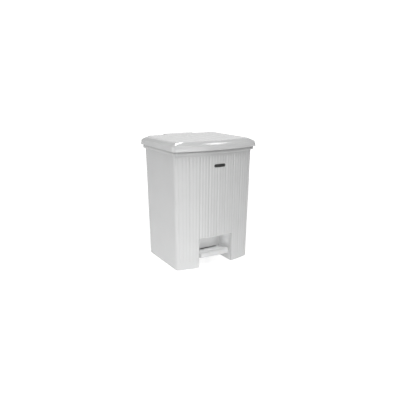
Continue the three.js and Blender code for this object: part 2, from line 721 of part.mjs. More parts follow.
// The bail's centre line in plan: out of one ear, forward, across the front and back to the other ear.
function bailPath() {
  const point = (x, y) => new THREE.Vector3(x, y, EAR.z);
  const { armX, endX, front, elbow, cornerRadius: r } = BAIL;
  const path = new THREE.CurvePath();
  const bend = (a, b, c) => path.add(new THREE.QuadraticBezierCurve3(a, b, c));
  const straight = (a, b) => path.add(new THREE.LineCurve3(a, b));
  straight(point(-endX, EAR.y), point(-armX - elbow, EAR.y));
  bend(point(-armX - elbow, EAR.y), point(-armX, EAR.y), point(-armX, EAR.y - elbow));
  straight(point(-armX, EAR.y - elbow), point(-armX, front + r));
  bend(point(-armX, front + r), point(-armX, front), point(r - armX, front));
  straight(point(r - armX, front), point(armX - r, front));
  bend(point(armX - r, front), point(armX, front), point(armX, front + r));
  straight(point(armX, front + r), point(armX, EAR.y - elbow));
  bend(point(armX, EAR.y - elbow), point(armX, EAR.y), point(armX + elbow, EAR.y));
  straight(point(armX + elbow, EAR.y), point(endX, EAR.y));
  return path;
}

function bucketBail() {
  const section = new THREE.Shape().absarc(0, 0, BAIL.radius, 0, 2 * Math.PI, false);
  return solid(new THREE.ExtrudeGeometry(section, { steps: 60, extrudePath: bailPath(), curveSegments: 5 }));
}

function bailGrip() {
  return cutBy(
    rodX(-GRIP.half, GRIP.half, BAIL.front, EAR.z, GRIP.radius, 20),
    rodX(-GRIP.half - PAST, GRIP.half + PAST, BAIL.front, EAR.z, GRIP.bore),
  );
}

// ---- Assembly ----

function mesh(name, body, material) {
  const { vertProperties, triVerts } = body.getMesh();
  const geometry = new THREE.BufferGeometry();
  geometry.setAttribute("position", new THREE.Float32BufferAttribute(vertProperties, 3));
  geometry.setIndex(new THREE.Uint32BufferAttribute(triVerts, 1));
  geometry.computeVertexNormals();
  const part = new THREE.Mesh(geometry, material.clone());
  part.name = name;
  return part;
}

const group = new THREE.Group();
const add = (name, body, material) => group.add(mesh(name, body, material));

add("outer_shell", outerShell(), materials.shell);
add("base_plate", basePlate(), materials.base);
BASE_SCREWS.forEach(([name, x, y]) => add(name, baseScrew(x, y), materials.steel));
FEET.forEach(([name, x, y]) => add(name, foot(x, y), materials.rubber));
add("rear_column", rearColumn(), materials.shell);
COLUMN_SCREWS.forEach(([name, x, z]) => add(name, columnScrew(x, z), materials.steel));
add("rod_guide_lower", rodGuide(GUIDE.low), materials.base);
add("rod_guide_upper", rodGuide(GUIDE.high), materials.base);
add("pedal_axle", pedalAxle(), materials.steel);
add("axle_cap_left", axleCap(-1), materials.base);
add("axle_cap_right", axleCap(1), materials.base);
add("pedal_tread", pedalTread(), materials.tread);
add("pedal_lever", pedalLever(), materials.steel);
add("push_rod", pushRod(), materials.steel);
add("rod_pin_lower", rodPin(LEVER_EYE.z), materials.steel);
add("rod_pin_upper", rodPin(CRANK_PIN.z), materials.steel);
add("lid", lid(), materials.lid);
add("hinge_pin_left", hingePin(-1), materials.steel);
add("hinge_pin_right", hingePin(1), materials.steel);
add("lid_bumper_left", lidBumper(-1), materials.rubber);
add("lid_bumper_right", lidBumper(1), materials.rubber);
add("inner_bucket", innerBucket(), materials.bucket);
add("bucket_bail", bucketBail(), materials.steel);
add("bail_grip", bailGrip(), materials.base);

export default group;
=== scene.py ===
import math
from collections import namedtuple

import bmesh
import bpy
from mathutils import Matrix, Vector

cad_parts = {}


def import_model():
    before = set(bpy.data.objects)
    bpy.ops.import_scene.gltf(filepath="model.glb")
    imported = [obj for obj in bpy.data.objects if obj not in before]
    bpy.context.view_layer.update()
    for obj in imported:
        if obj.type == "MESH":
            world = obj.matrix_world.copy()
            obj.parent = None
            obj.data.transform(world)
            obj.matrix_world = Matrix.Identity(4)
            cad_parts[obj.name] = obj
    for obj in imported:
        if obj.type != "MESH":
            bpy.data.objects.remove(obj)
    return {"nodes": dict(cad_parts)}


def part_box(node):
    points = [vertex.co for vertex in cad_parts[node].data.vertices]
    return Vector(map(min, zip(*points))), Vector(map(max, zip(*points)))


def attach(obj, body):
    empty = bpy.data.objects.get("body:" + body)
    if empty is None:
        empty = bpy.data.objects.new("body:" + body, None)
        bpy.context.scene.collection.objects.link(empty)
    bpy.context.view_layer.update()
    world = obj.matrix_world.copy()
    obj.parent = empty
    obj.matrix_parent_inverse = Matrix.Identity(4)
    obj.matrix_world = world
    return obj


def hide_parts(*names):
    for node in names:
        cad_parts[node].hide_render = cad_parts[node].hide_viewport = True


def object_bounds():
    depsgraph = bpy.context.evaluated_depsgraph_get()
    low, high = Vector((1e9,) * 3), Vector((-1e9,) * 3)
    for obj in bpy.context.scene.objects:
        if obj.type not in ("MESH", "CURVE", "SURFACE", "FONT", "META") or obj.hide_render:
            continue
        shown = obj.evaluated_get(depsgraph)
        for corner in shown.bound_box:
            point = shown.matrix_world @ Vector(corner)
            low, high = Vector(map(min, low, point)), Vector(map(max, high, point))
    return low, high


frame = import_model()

MM = 0.001
# Points nearer than this are one point, and edges nearer than this to a height lie at it.
SNAP = 0.01
CAD_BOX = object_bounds()


def corners(node):
    """Lowest and highest corner of a CAD node, in millimetres."""
    low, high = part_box(node)
    return low / MM, high / MM


# ---- Plans: a rectangle with round corners and a bowed front ----

# Half width, rear Y, Y of the front's ends, how far the front bows out between them, and corner radius.
Plan = namedtuple("Plan", "half rear front bow corner")
BOW = 21.6
LEAST_CORNER = 2
SHELL_LOW, SHELL_HIGH = corners("outer_shell")
LID_LOW, LID_HIGH = corners("lid")
BUCKET_LOW, BUCKET_HIGH = corners("inner_bucket")
TREAD_LOW, TREAD_HIGH = corners("pedal_tread")
COLUMN_LOW, COLUMN_HIGH = corners("rear_column")

RIM = Plan(SHELL_HIGH.x, SHELL_HIGH.y, SHELL_LOW.y + BOW, BOW, 11)
SHELL_TOP = Plan(RIM.half - 6.2, RIM.rear - 6.2, RIM.front + 6.8, BOW, 8)
SHELL_BOTTOM = Plan(SHELL_TOP.half - 5, SHELL_TOP.rear - 6.7, SHELL_TOP.front + 6.7, BOW, 8)
SKIRT_BOTTOM = Plan(LID_HIGH.x, 105.5, LID_LOW.y + BOW, BOW, 12)
SKIRT_TOP = Plan(SKIRT_BOTTOM.half - 2.2, 104.2, SKIRT_BOTTOM.front + 2.4, BOW, 12)
SHOULDER = Plan(SKIRT_BOTTOM.half - 10.8, 102.4, SKIRT_BOTTOM.front + 6.8, 17, 14)
PLATE = Plan(SKIRT_BOTTOM.half - 22.7, 100.3, SKIRT_BOTTOM.front + 10.4, 14, 16)
FLANGE = Plan(BUCKET_HIGH.x, BUCKET_HIGH.y, BUCKET_LOW.y + BOW, BOW, 16)
BUCKET_TOP = Plan(FLANGE.half - 10.5, FLANGE.rear - 6, FLANGE.front + 9.5, 20, 16)
BUCKET_BOTTOM = Plan(BUCKET_TOP.half - 11.5, BUCKET_TOP.rear - 10.5, BUCKET_TOP.front + 12, 19, 22)

RIM_BOTTOM = SHELL_HIGH.z - 9.5
WALL = 2.3
# Radius of the rounding along the mouldings' free edges.
FREE_EDGE = 0.5
SKIRT_BOTTOM_Z = 355.4
SKIRT_TOP_Z = LID_HIGH.z - 10
SHOULDER_Z = LID_HIGH.z - 5.2

# The pedal recess in the front, the lever's slot in its back wall and the slot in the shell's rear wall.
RECESS = {"half": 56.8, "back": -42.8, "top": 93, "round": 4}
RECESS_SLOT = {"half": 46, "bottom": 12, "top": 34}
REAR_SLOT = {"half": 13, "bottom": 7, "top": 58}
COLUMN_GAP = COLUMN_HIGH.x + 0.6

# Vertical grooves of the front: one at each panel's edge, and two finer ones in each panel.
PITCH = RECESS["half"] / 2
DEEP = {"width": 3.2, "depth": 0.8}
FINE = {"width": 3.2, "depth": 0.35}
REEDING = {"bottom": 27, "top": 336, "fade": 3}
# The outermost grooves lie this far in from where the corners start.
END_GROOVE = 2.6


def mixed(low, high, share):
    """The plan a share of the way from one plan to another."""
    return Plan(*(a + (b - a) * share for a, b in zip(low, high)))


def inset(plan, distance):
    """The plan with its outline moved in by a distance, or out by a negative one."""
    corner = max(plan.corner - distance, LEAST_CORNER)
    return Plan(plan.half - distance, plan.rear - distance, plan.front + distance, plan.bow, corner)


def shell_plan(z):
    """The tapered shell's plan at a height."""
    share = (z - SHELL_LOW.z) / (RIM_BOTTOM - SHELL_LOW.z)
    return mixed(SHELL_BOTTOM, SHELL_TOP, min(max(share, 0), 1))


def front_y(plan, x):
    """Y of the bowed front at a place across it."""
    return plan.front - plan.bow * (1 - (x / plan.half) ** 2)


def lines(exact, extra=(), least=0.25, most=8.0):
    """Sorted grid lines: the exact ones, the extra ones that aren't too near, and more in wide gaps."""
    kept = sorted(exact)
    first, last = kept[0], kept[-1]
    for value in sorted(extra):
        if first < value < last and min(abs(value - k) for k in kept) >= least:
            kept.append(value)
    kept.sort()
    filled = [kept[0]]
    for value in kept[1:]:
        count = math.ceil((value - filled[-1]) / most)
        start = filled[-1]
        filled += [start + (value - start) * (i + 1) / count for i in range(count)]
    return filled


def on_bend(t, start, corner, end):
    """The place a share t of the way along a round bend from start to end."""
    return start * (1 - t) ** 2 + 2 * corner * t * (1 - t) + end * t * t


def evenly(start, end, steps):
    return [start + (end - start) * i / steps for i in range(steps + 1)]


def mirrored(values):
    return [-v for v in values] + list(values)


CORNER_STEPS = 9
# The rear corners' radius, as a share of the front ones'.
REAR_CORNER = 0.5


def columns(plan, us, fixed=0):
    """X, front Y and rear Y of each column from left to right. Columns nearer than fixed keep their X."""
    span = plan.half - plan.corner
    last = us[-1]
    middle = []
    for u in us:
        share = max(0, (abs(u) - fixed) / (last - fixed))
        x = u + math.copysign(span - last, u) * share
        middle.append((x, front_y(plan, x), plan.rear))
    right = []
    for t in evenly(0, 1, CORNER_STEPS)[1:]:
        x = plan.half - plan.corner * (1 - t) ** 2
        front = on_bend(t, front_y(plan, span), plan.front, plan.front + plan.corner)
        right.append((x, front, plan.rear - plan.corner * t * t))
    left = [(-x, front, rear) for x, front, rear in reversed(right)]
    return left + middle + right


def ring(plan, us, ts, fixed=0, rear_us=None):
    """The plan's outline, counter-clockwise seen from above, from the front left."""
    front = columns(plan, us, fixed)
    rear = columns(plan._replace(corner=plan.corner * REAR_CORNER), rear_us or us, fixed)
    side = [front[-1][1] + (front[-1][2] - front[-1][1]) * t for t in ts]
    points = [(x, y) for x, y, _ in front]
    points += [(front[-1][0], y) for y in side]
    points += [(x, y) for x, _, y in reversed(rear)]
    points += [(front[0][0], y) for y in reversed(side)]
    return points


def rings(levels, us, ts):
    """Rows of points round the plan of each level, which is (height, plan)."""
    return [[(x, y, z) for x, y in ring(plan, us, ts)] for z, plan in levels]


def rear_quads(us, ts):
    """Which quads of a ring run along the rear."""
    count = len(us) + 2 * CORNER_STEPS
    return range(count + len(ts), 2 * count + len(ts) - 1)


def quarter_turn(steps):
    """(rise, run) of a quarter turn of radius 1, from its first step to its last, which is (1, 0)."""
    return [(1 - math.cos(angle), 1 - math.sin(angle)) for angle in evenly(0, math.pi / 2, steps)]


def quad_middle(rows, i, j):
    """X and Z of the middle of a quad between two rows."""
    x = (rows[i][j][0] + rows[i][(j + 1) % len(rows[i])][0]) / 2
    return x, (rows[i][j][2] + rows[i + 1][j][2]) / 2


def inward(points):
    """The inward unit normal at each point of a counter-clockwise outline."""
    normals = []
    for i, _ in enumerate(points):
        before, after = points[i - 1], points[(i + 1) % len(points)]
        normals.append(Vector((before[1] - after[1], after[0] - before[0])).normalized())
    return normals


# ---- Meshes ----


class Sheet:
    """Points and faces of an open sheet or a closed body, in millimetres."""

    def __init__(self):
        self.mesh = bmesh.new()

    def point(self, x, y, z):
        return self.mesh.verts.new((x * MM, y * MM, z * MM))

    def face(self, *verts):
        if len(set(verts)) > 2:
            self.mesh.faces.new(verts)

    def grid(self, rows, closed=False, keep=lambda i, j: True):
        """Quads between rows of points. keep(row, column) says which quads are made."""
        made = [[self.point(*p) for p in row] for row in rows]
        for i, (low, high) in enumerate(zip(made, made[1:])):
            count = len(low) if closed else len(low) - 1
            for j in range(count):
                k = (j + 1) % len(low)
                if keep(i, j):
                    self.face(low[j], low[k], high[k], high[j])
        return made


def mesh_data(name, mesh):
    """Blender mesh data made from a mesh, which is used up."""
    data = bpy.data.meshes.new(name)
    mesh.to_mesh(data)
    mesh.free()
    return data


def in_scene(name, data):
    """A new object in the scene."""
    made = bpy.data.objects.new(name, data)
    bpy.context.scene.collection.objects.link(made)
    return made


def merge(mesh, distance=2 * SNAP):
    """Joins points that lie together and removes loose and folded-up ones."""
    loose = [v for v in mesh.verts if not v.link_faces]
    bmesh.ops.delete(mesh, geom=loose, context="VERTS")
    bmesh.ops.remove_doubles(mesh, verts=mesh.verts, dist=distance * MM)
    bmesh.ops.dissolve_degenerate(mesh, edges=mesh.edges, dist=distance * MM / 4)


def after_modifiers(mesh, add):
    """The mesh that comes out of the modifiers that add(holder) puts on it."""
    data = mesh_data("holder", mesh)
    holder = in_scene("holder", data)
    add(holder)
    depsgraph = bpy.context.evaluated_depsgraph_get()
    result = bmesh.new()
    result.from_mesh(holder.evaluated_get(depsgraph).to_mesh())
    bpy.data.objects.remove(holder)
    bpy.data.meshes.remove(data)
    return result


def thickened(sheet, thickness):
    """A closed body made from a sheet, thickened on the side that its faces turn away from."""
    merge(sheet.mesh)

    def add(holder):
        solidify = holder.modifiers.new("Solidify", "SOLIDIFY")
        solidify.thickness = thickness * MM
        solidify.offset = -1
        solidify.use_even_offset = True
        solidify.use_quality_normals = True

    return after_modifiers(sheet.mesh, add)


def cut(mesh, tool):
    """The mesh with a tool mesh taken away from it."""
    data = mesh_data("tool", tool)
    cutter = in_scene("tool", data)

    def add(holder):
        difference = holder.modifiers.new("Cut", "BOOLEAN")
        difference.operation = "DIFFERENCE"
        difference.solver = "EXACT"
        difference.object = cutter

    result = after_modifiers(mesh, add)
    bpy.data.objects.remove(cutter)
    bpy.data.meshes.remove(data)
    return result


def rounded(mesh, radius, pick=lambda edge: True, angle=50, segments=3):
    """Rounds the edges sharper than an angle that pick accepts."""
    mesh.normal_update()
    closed = [e for e in mesh.edges if len(e.link_faces) == 2]
    sharp = [e for e in closed if math.degrees(e.calc_face_angle(0)) > angle and pick(e)]
    shape = {"offset": radius * MM, "segments": segments, "profile": 0.5, "affect": "EDGES"}
    bmesh.ops.bevel(mesh, geom=sharp, clamp_overlap=True, **shape)
    return mesh


def at_height(z):
    """Picks the edges that lie level at a height."""
    return lambda edge: all(abs(v.co.z - z * MM) < SNAP * MM for v in edge.verts)


def closed_body(sheet):
    """The sheet's mesh with its seams joined and its faces turned outwards."""
    bmesh.ops.remove_doubles(sheet.mesh, verts=sheet.mesh.verts, dist=SNAP * MM)
    bmesh.ops.recalc_face_normals(sheet.mesh, faces=sheet.mesh.faces)
    return sheet.mesh


def between(side, near, far):
    """Two distances from the middle plane, as the lower and the higher X on one side."""
    return sorted((side * near, side * far))


def prism(outline, x0, x1, radius=0.6):
    """A closed body: an outline of (y, z) points, extruded along X, with rounded edges."""
    sheet = Sheet()
    ends = [[sheet.point(x, y, z) for y, z in outline] for x in (x0, x1)]
    sheet.mesh.faces.new(list(reversed(ends[0])))
    sheet.mesh.faces.new(ends[1])
    count = len(outline)
    for i in range(count):
        j = (i + 1) % count
        sheet.face(ends[0][i], ends[0][j], ends[1][j], ends[1][i])
    bmesh.ops.recalc_face_normals(sheet.mesh, faces=sheet.mesh.faces)
    return rounded(sheet.mesh, radius) if radius else sheet.mesh


def turned(profile, centre, axis="X", steps=40):
    """A closed body of revolution: (along, radius) points round an axis through centre."""
    sheet = Sheet()
    rows = []
    for angle in evenly(0, 2 * math.pi, steps)[:-1]:
        row = []
        for along, radius in profile:
            a, b = radius * math.cos(angle), radius * math.sin(angle)
            offset = {"X": (along, a, b), "Z": (a, b, along)}[axis]
            row.append([c + o for c, o in zip(centre, offset)])
        rows.append(row)
    rows.append(rows[0])
    sheet.grid(rows)
    return closed_body(sheet)


def joined(*meshes):
    """One mesh that holds several closed bodies."""
    total = meshes[0]
    for mesh in meshes[1:]:
        data = mesh_data("part", mesh)
        total.from_mesh(data)
        bpy.data.meshes.remove(data)
    return total


def arc(y, z, radius, start, end, steps):
    """(y, z) points on an arc, with angles in degrees from +Y towards +Z."""
    angles = [math.radians(angle) for angle in evenly(start, end, steps)]
    return [(y + radius * math.cos(a), z + radius * math.sin(a)) for a in angles]


# Edges sharper than this are shaded sharp.
SHARP_ANGLE = math.radians(32)


def piece(name, mesh, body, material, stands_for=()):
    """A finished visible piece that rides on a body and takes the place of CAD nodes."""
    bmesh.ops.recalc_face_normals(mesh, faces=mesh.faces)
    data = mesh_data(name, mesh)
    for polygon in data.polygons:
        polygon.use_smooth = True
    data.set_sharp_from_angle(angle=SHARP_ANGLE)
    data.materials.append(material)
    made = in_scene(name, data)
    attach(made, body)
    if stands_for:
        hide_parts(*stands_for)


# ---- Materials ----


def set_inputs(node, values):
    for name, value in values.items():
        node.inputs[name].default_value = value


class Nodes:
    """Short calls that add nodes to a material and join them."""

    def __init__(self, name):
        self.material = bpy.data.materials.new(name)
        self.material.use_nodes = True
        self.tree = self.material.node_tree
        self.shader = self.tree.nodes["Principled BSDF"]
        self.place = self.add("ShaderNodeTexCoord").outputs["Object"]

    def add(self, kind, **settings):
        node = self.tree.nodes.new(kind)
        for key, value in settings.items():
            setattr(node, key, value)
        return node

    def join(self, output, socket):
        self.tree.links.new(output, socket)

    def noise(self, scale, detail=2.0, stretch=None):
        node = self.add("ShaderNodeTexNoise")
        set_inputs(node, {"Scale": scale, "Detail": detail})
        place = self.place
        if stretch:
            mapping = self.add("ShaderNodeMapping")
            set_inputs(mapping, {"Scale": stretch})
            self.join(place, mapping.inputs["Vector"])
            place = mapping.outputs["Vector"]
        self.join(place, node.inputs["Vector"])
        return node.outputs["Fac"]

    def ranged(self, value, low, high, start=0.0, end=1.0):
        """A value between start and end, mapped to low and high."""
        node = self.add("ShaderNodeMapRange")
        set_inputs(node, {"From Min": start, "From Max": end, "To Min": low, "To Max": high})
        self.join(value, node.inputs["Value"])
        return node.outputs["Result"]

    def sum(self, a, b, operation="ADD"):
        node = self.add("ShaderNodeMath", operation=operation)
        self.join(a, node.inputs[0])
        self.join(b, node.inputs[1])
        return node.outputs["Value"]

    def colour(self, share, low, high):
        node = self.add("ShaderNodeMix", data_type="RGBA")
        node.inputs["A"].default_value = (*low, 1)
        node.inputs["B"].default_value = (*high, 1)
        self.join(share, node.inputs["Factor"])
        self.join(node.outputs["Result"], self.shader.inputs["Base Color"])

    def bump(self, height, strength, distance, under=None):
        node = self.add("ShaderNodeBump")
        set_inputs(node, {"Strength": strength, "Distance": distance})
        self.join(height, node.inputs["Height"])
        if under is not None:
            self.join(under, node.inputs["Normal"])
        self.join(node.outputs["Normal"], self.shader.inputs["Normal"])
        return node.outputs["Normal"]


def grey(value, tint=(1, 1, 1)):
    """A grey of that brightness, times a faint tint."""
    return tuple(value * t for t in tint)


def moulded_plastic(name, value, roughness, scuffs=0.03, tint=(0.995, 1.0, 1.0)):
    """Injection-moulded plastic: cloudy tone, a fine grain, faint flow waves and fine scuffs, with a painted
    highlight along convex edges and painted shade in grooves and creases.
    """
    nodes = Nodes(name)
    cloud = nodes.noise(scale=14, detail=3)
    scuff = nodes.noise(scale=60, detail=6, stretch=(1.0, 1.0, 0.12))
    # Painted light and shade from pointiness: convex edges are coloured lighter (painted highlight) and
    # grooves and creases darker (painted shade). The tone below adds this to the cloudy tone.
    point = nodes.add("ShaderNodeNewGeometry").outputs["Pointiness"]
    edge = nodes.ranged(point, 0, 1, start=0.47, end=0.56)
    tone = nodes.sum(nodes.ranged(cloud, 0, 0.5, start=0.3, end=0.7), nodes.ranged(edge, 0, 0.5))
    darkest, lightest = value * 0.965, min(value * 1.035, 0.92)
    nodes.colour(tone, grey(darkest, tint), grey(lightest, tint))
    worn = nodes.ranged(scuff, 0, scuffs, start=0.45, end=0.75)
    rough = nodes.sum(nodes.ranged(cloud, roughness - 0.02, roughness + 0.03, start=0.3, end=0.7), worn)
    nodes.join(rough, nodes.shader.inputs["Roughness"])
    waves = nodes.bump(nodes.noise(scale=9, detail=1), strength=0.3, distance=0.2 * MM)
    nodes.bump(nodes.noise(scale=1900, detail=2), strength=0.12, distance=0.06 * MM, under=waves)
    nodes.shader.inputs["IOR"].default_value = 1.5
    return nodes.material


def steel(name, value, roughness, stretch):
    """Zinc-plated steel: fine drawing lines along its length, with cloudy plating."""
    nodes = Nodes(name)
    cloud = nodes.noise(scale=90, detail=4)
    drawn = nodes.noise(scale=700, detail=3, stretch=stretch)
    nodes.colour(nodes.sum(cloud, drawn, "MULTIPLY"), grey(value * 0.8), grey(value, (0.99, 1.0, 1.02)))
    lined = nodes.ranged(drawn, roughness - 0.06, roughness + 0.06, start=0.3, end=0.7)
    rough = nodes.sum(lined, nodes.ranged(cloud, 0, 0.08))
    nodes.join(rough, nodes.shader.inputs["Roughness"])
    nodes.bump(drawn, strength=0.2, distance=0.08 * MM)
    nodes.shader.inputs["Metallic"].default_value = 1.0
    return nodes.material


def rubber(name, value):
    """Matt rubber with a fine pitted skin and pale dust."""
    nodes = Nodes(name)
    dust = nodes.noise(scale=160, detail=5)
    nodes.colour(nodes.ranged(dust, 0, 1, start=0.4, end=0.75), grey(value), grey(value * 2.2))
    nodes.join(nodes.ranged(dust, 0.72, 0.9), nodes.shader.inputs["Roughness"])
    nodes.bump(nodes.noise(scale=2600, detail=2), strength=0.3, distance=0.1 * MM)
    return nodes.material


SHELL_PLASTIC = moulded_plastic("shell_plastic", value=0.74, roughness=0.1)
LID_PLASTIC = moulded_plastic("lid_plastic", value=0.76, roughness=0.1)
TREAD_PLASTIC = moulded_plastic("tread_plastic", value=0.8, roughness=0.28, scuffs=0.2)
INNER_PLASTIC = moulded_plastic("inner_plastic", value=0.5, roughness=0.42)
BUCKET_PLASTIC = moulded_plastic("bucket_plastic", value=0.6, roughness=0.34, scuffs=0.1)
GRIP_PLASTIC = moulded_plastic("grip_plastic", value=0.12, roughness=0.4)
BADGE_PLASTIC = moulded_plastic("badge_plastic", value=0.045, roughness=0.3)
FOOT_RUBBER = rubber("foot_rubber", value=0.035)
LEVER_STEEL = steel("lever_steel", value=0.62, roughness=0.34, stretch=(1.0, 0.04, 1.0))
ROD_STEEL = steel("rod_steel", value=0.66, roughness=0.28, stretch=(1.0, 1.0, 0.04))
SCREW_STEEL = steel("screw_steel", value=0.58, roughness=0.32, stretch=(1.0, 1.0, 1.0))


# ---- Outer shell ----


def groove_list(span):
    """(centre, width, depth) of every groove across a front of that half width."""
    edge = span - END_GROOVE
    step = PITCH / 3
    found = [(0.0, DEEP), (edge, DEEP), (-edge, DEEP)]
    for third in range(1, math.floor((edge - step / 2) / step) + 1):
        kind = FINE if third % 3 else DEEP
        found += [(third * step, kind), (-third * step, kind)]
    return [(centre, kind["width"], kind["depth"]) for centre, kind in found]


def groove_depth(grooves, u):
    """How far the surface is sunk at a place across the front."""
    for centre, width, depth in grooves:
        away = abs(u - centre) / width
        if away < 1:
            return depth * (1 + math.cos(math.pi * away)) / 2
    return 0.0


def groove_lines(grooves):
    """Grid lines across the front that follow each groove's curve."""
    return [centre + width * k / 3 for centre, width, _ in grooves for k in range(-3, 4)]


def smooth_step(value, start, end):
    """Rises smoothly from 0 at start to 1 at end."""
    share = min(max((value - start) / (end - start), 0), 1)
    return share * share * (3 - 2 * share)


def fillet(distance, radius):
    """How far a rounded edge falls away at a distance from that edge."""
    if distance >= radius:
        return 0.0
    return radius - math.sqrt(max(radius**2 - (radius - distance) ** 2, 0))


def fillet_lines(radius, steps=5):
    """Distances from a rounded edge at which grid lines follow its curve."""
    return [radius * along for along, _ in quarter_turn(steps)[1:]]


BOTTOM_ROUND = 1.0
RIM_ROUND = 1.0
SHELL_SPAN = SHELL_BOTTOM.half - SHELL_BOTTOM.corner
# Grid lines up to here run straight up. The ones beyond it lean with the taper.
SHELL_FIXED = RECESS["half"] + 6
SHELL_GROOVES = groove_list(SHELL_SPAN)
# Places of the grid lines along a stretch that needs only a few.
THIRDS = (0, 0.33, 0.67, 1)


def shell_sheet():
    """The shell's outer face, with the recess walls and the underside and inner face of the rim."""
    edge, top, radius = RECESS["half"], RECESS["top"], RECESS["round"]
    side_rounding = [edge + d for d in fillet_lines(radius)]
    us = lines(
        mirrored([edge, RECESS_SLOT["half"], SHELL_SPAN]) + [0],
        mirrored(side_rounding) + groove_lines(SHELL_GROOVES),
    )
    rear_us = lines(mirrored([REAR_SLOT["half"], COLUMN_GAP, SHELL_SPAN]), most=24)
    ts = evenly(0, 1, 8)[1:-1]
    slot_rows = [REAR_SLOT["bottom"], REAR_SLOT["top"], RECESS_SLOT["bottom"], RECESS_SLOT["top"]]
    fade_rows = []
    for limit, side in ((REEDING["bottom"], -1), (REEDING["top"], 1)):
        fade_rows += [limit + side * REEDING["fade"] * share for share in THIRDS]
    zs = lines(
        [SHELL_LOW.z, top, RIM_BOTTOM] + slot_rows,
        [SHELL_LOW.z + d for d in fillet_lines(BOTTOM_ROUND, 3)]
        + [top + d for d in fillet_lines(radius)]
        + fade_rows,
        most=45,
    )
    front_count = len(us) + 2 * CORNER_STEPS
    # Places across the front, in the order of the ring, for the grooves and the recess.
    places = [None] * CORNER_STEPS + us + [None] * CORNER_STEPS

    def sunk(place, z):
        low, high, fade = REEDING["bottom"], REEDING["top"], REEDING["fade"]
        reeding = smooth_step(z, low - fade, low) * (1 - smooth_step(z, high, high + fade))
        away = math.hypot(max(abs(place) - edge, 0), max(z - top, 0))
        depth = groove_depth(SHELL_GROOVES, place) * reeding * min(away / radius, 1)
        return depth + fillet(away, radius)

    def level(z):
        outline = ring(shell_plan(z), us, ts, SHELL_FIXED, rear_us)
        row = []
        for i, ((x, y), normal) in enumerate(zip(outline, inward(outline))):
            depth = fillet(z - SHELL_LOW.z, BOTTOM_ROUND)
            if i < front_count and places[i] is not None:
                inside = abs(places[i]) < edge and z < top
                depth += 0 if inside else sunk(places[i], z)
            row.append((x + normal.x * depth, y + normal.y * depth, z))
        return row

    sheet = Sheet()
    rows = [level(z) for z in zs]
    under_top = SHELL_HIGH.z - WALL
    rim_inner = inset(RIM, WALL)
    rim_levels = [(under_top, SHELL_TOP)]
    for down, across in ((0, 1), (0.3, 0.3), (1, 0)):
        rim_levels.append((under_top - RIM_ROUND * down, inset(rim_inner, RIM_ROUND * across)))
    rim_levels.append((RIM_BOTTOM, rim_inner))
    rows += [[(x, y, z) for x, y in ring(plan, us, ts, SHELL_FIXED, rear_us)] for z, plan in rim_levels]
    body_rows = len(zs)

    def keep(i, j):
        x, z = quad_middle(rows, i, j)
        front = j < front_count - 1
        rear = front_count + len(ts) <= j < front_count + len(ts) + len(rear_us) + 2 * CORNER_STEPS - 1
        if front and abs(x) < edge and z < top:
            return False
        if rear and abs(x) < REAR_SLOT["half"] and REAR_SLOT["bottom"] < z < REAR_SLOT["top"]:
            return False
        return not (rear and abs(x) < COLUMN_GAP and i >= body_rows)

    sheet.grid(rows, closed=True, keep=keep)
    add_recess(sheet, rows[: zs.index(top) + 1], places)
    rear_edge = [(u, SHELL_TOP.rear) for u in reversed(rear_us) if abs(u) <= COLUMN_GAP + SNAP]
    sheet.grid([[(x, y, z) for x, y in rear_edge] for z in (under_top, SHELL_HIGH.z)])
    return sheet


def add_recess(sheet, rows, places):
    """The recess's side walls, ceiling and back wall, from the front's own grid lines."""
    edge, back = RECESS["half"], RECESS["back"]
    inside = [i for i, place in enumerate(places) if place is not None and abs(place) <= edge + SNAP]

    def run_back(point):
        x, y, z = point
        return [(x, y + (back - y) * share, z) for share in THIRDS]

    sheet.grid([run_back(row[inside[0]]) for row in rows])
    sheet.grid([run_back(row[inside[-1]]) for row in reversed(rows)])
    ceiling_edge = [rows[-1][i] for i in inside]
    sheet.grid([run_back(point) for point in reversed(ceiling_edge)])
    wall = [[(row[i][0], back, row[i][2]) for i in inside] for row in rows]

    def keep(i, j):
        x, z = quad_middle(wall, i, j)
        return not (abs(x) < RECESS_SLOT["half"] and RECESS_SLOT["bottom"] < z < RECESS_SLOT["top"])

    sheet.grid(wall, keep=keep)


def faces_out(sheet, low, high):
    """Turns a sheet's faces so that the ones on its right-hand side, between two heights, face right."""
    sideways = 0.9
    merge(sheet.mesh)
    bmesh.ops.recalc_face_normals(sheet.mesh, faces=sheet.mesh.faces)
    sheet.mesh.normal_update()
    facing = 0
    for face in sheet.mesh.faces:
        middle = face.calc_center_median() / MM
        if middle.x > 0 and low < middle.z < high and abs(face.normal.x) > sideways:
            facing += face.normal.x * face.calc_area()
    if facing < 0:
        bmesh.ops.reverse_faces(sheet.mesh, faces=sheet.mesh.faces)


def outer_shell():
    """The shell: its outer face, thickened inwards, with the rim's lower edge rounded."""
    clear = 20
    sheet = shell_sheet()
    faces_out(sheet, RECESS["top"] + clear, REEDING["top"] - clear)
    mesh = rounded(thickened(sheet, WALL), FREE_EDGE, at_height(RIM_BOTTOM))
    piece("shell_body", mesh, "shell", SHELL_PLASTIC, ["outer_shell"])


# ---- Lid ----

# The lid's tongue and barrel cover the hinge and the crank at the rear.
HINGE = {"y": 124, "z": 368, "radius": 12, "pin_hole": 2.8}
BARREL = {"half": 43.5, "angles": (90, -60)}
KNUCKLE = {"near": 38, "play": 0.1, "inside": 0.4}
TONGUE = {"half": 50, "wall": 2.3, "bottom": 357}
CHEEK = {"front": 98, "arc": 88, "below": 0.2, "inside": 0.05, "drop": 1}
CRANK = {"y": 104.96, "z": 353.39, "hole": 5, "reach": 9, "near": 5, "far": 9}
# The posts of the rubber bumpers. They end clear of the shell's rim.
BUMPER = {"x": 133, "y": -60, "top": 371, "radius": 4, "edge": 0.6, "clear": 3.6}
LID_SPAN = PLATE.half - PLATE.corner
# The plate's grooves: depth as a share of the front's, and where they fade out at each end.
LID_RIB = {"depth_share": 0.6, "ends": (0.05, 0.09)}
EDGE_ROUND = 2.5


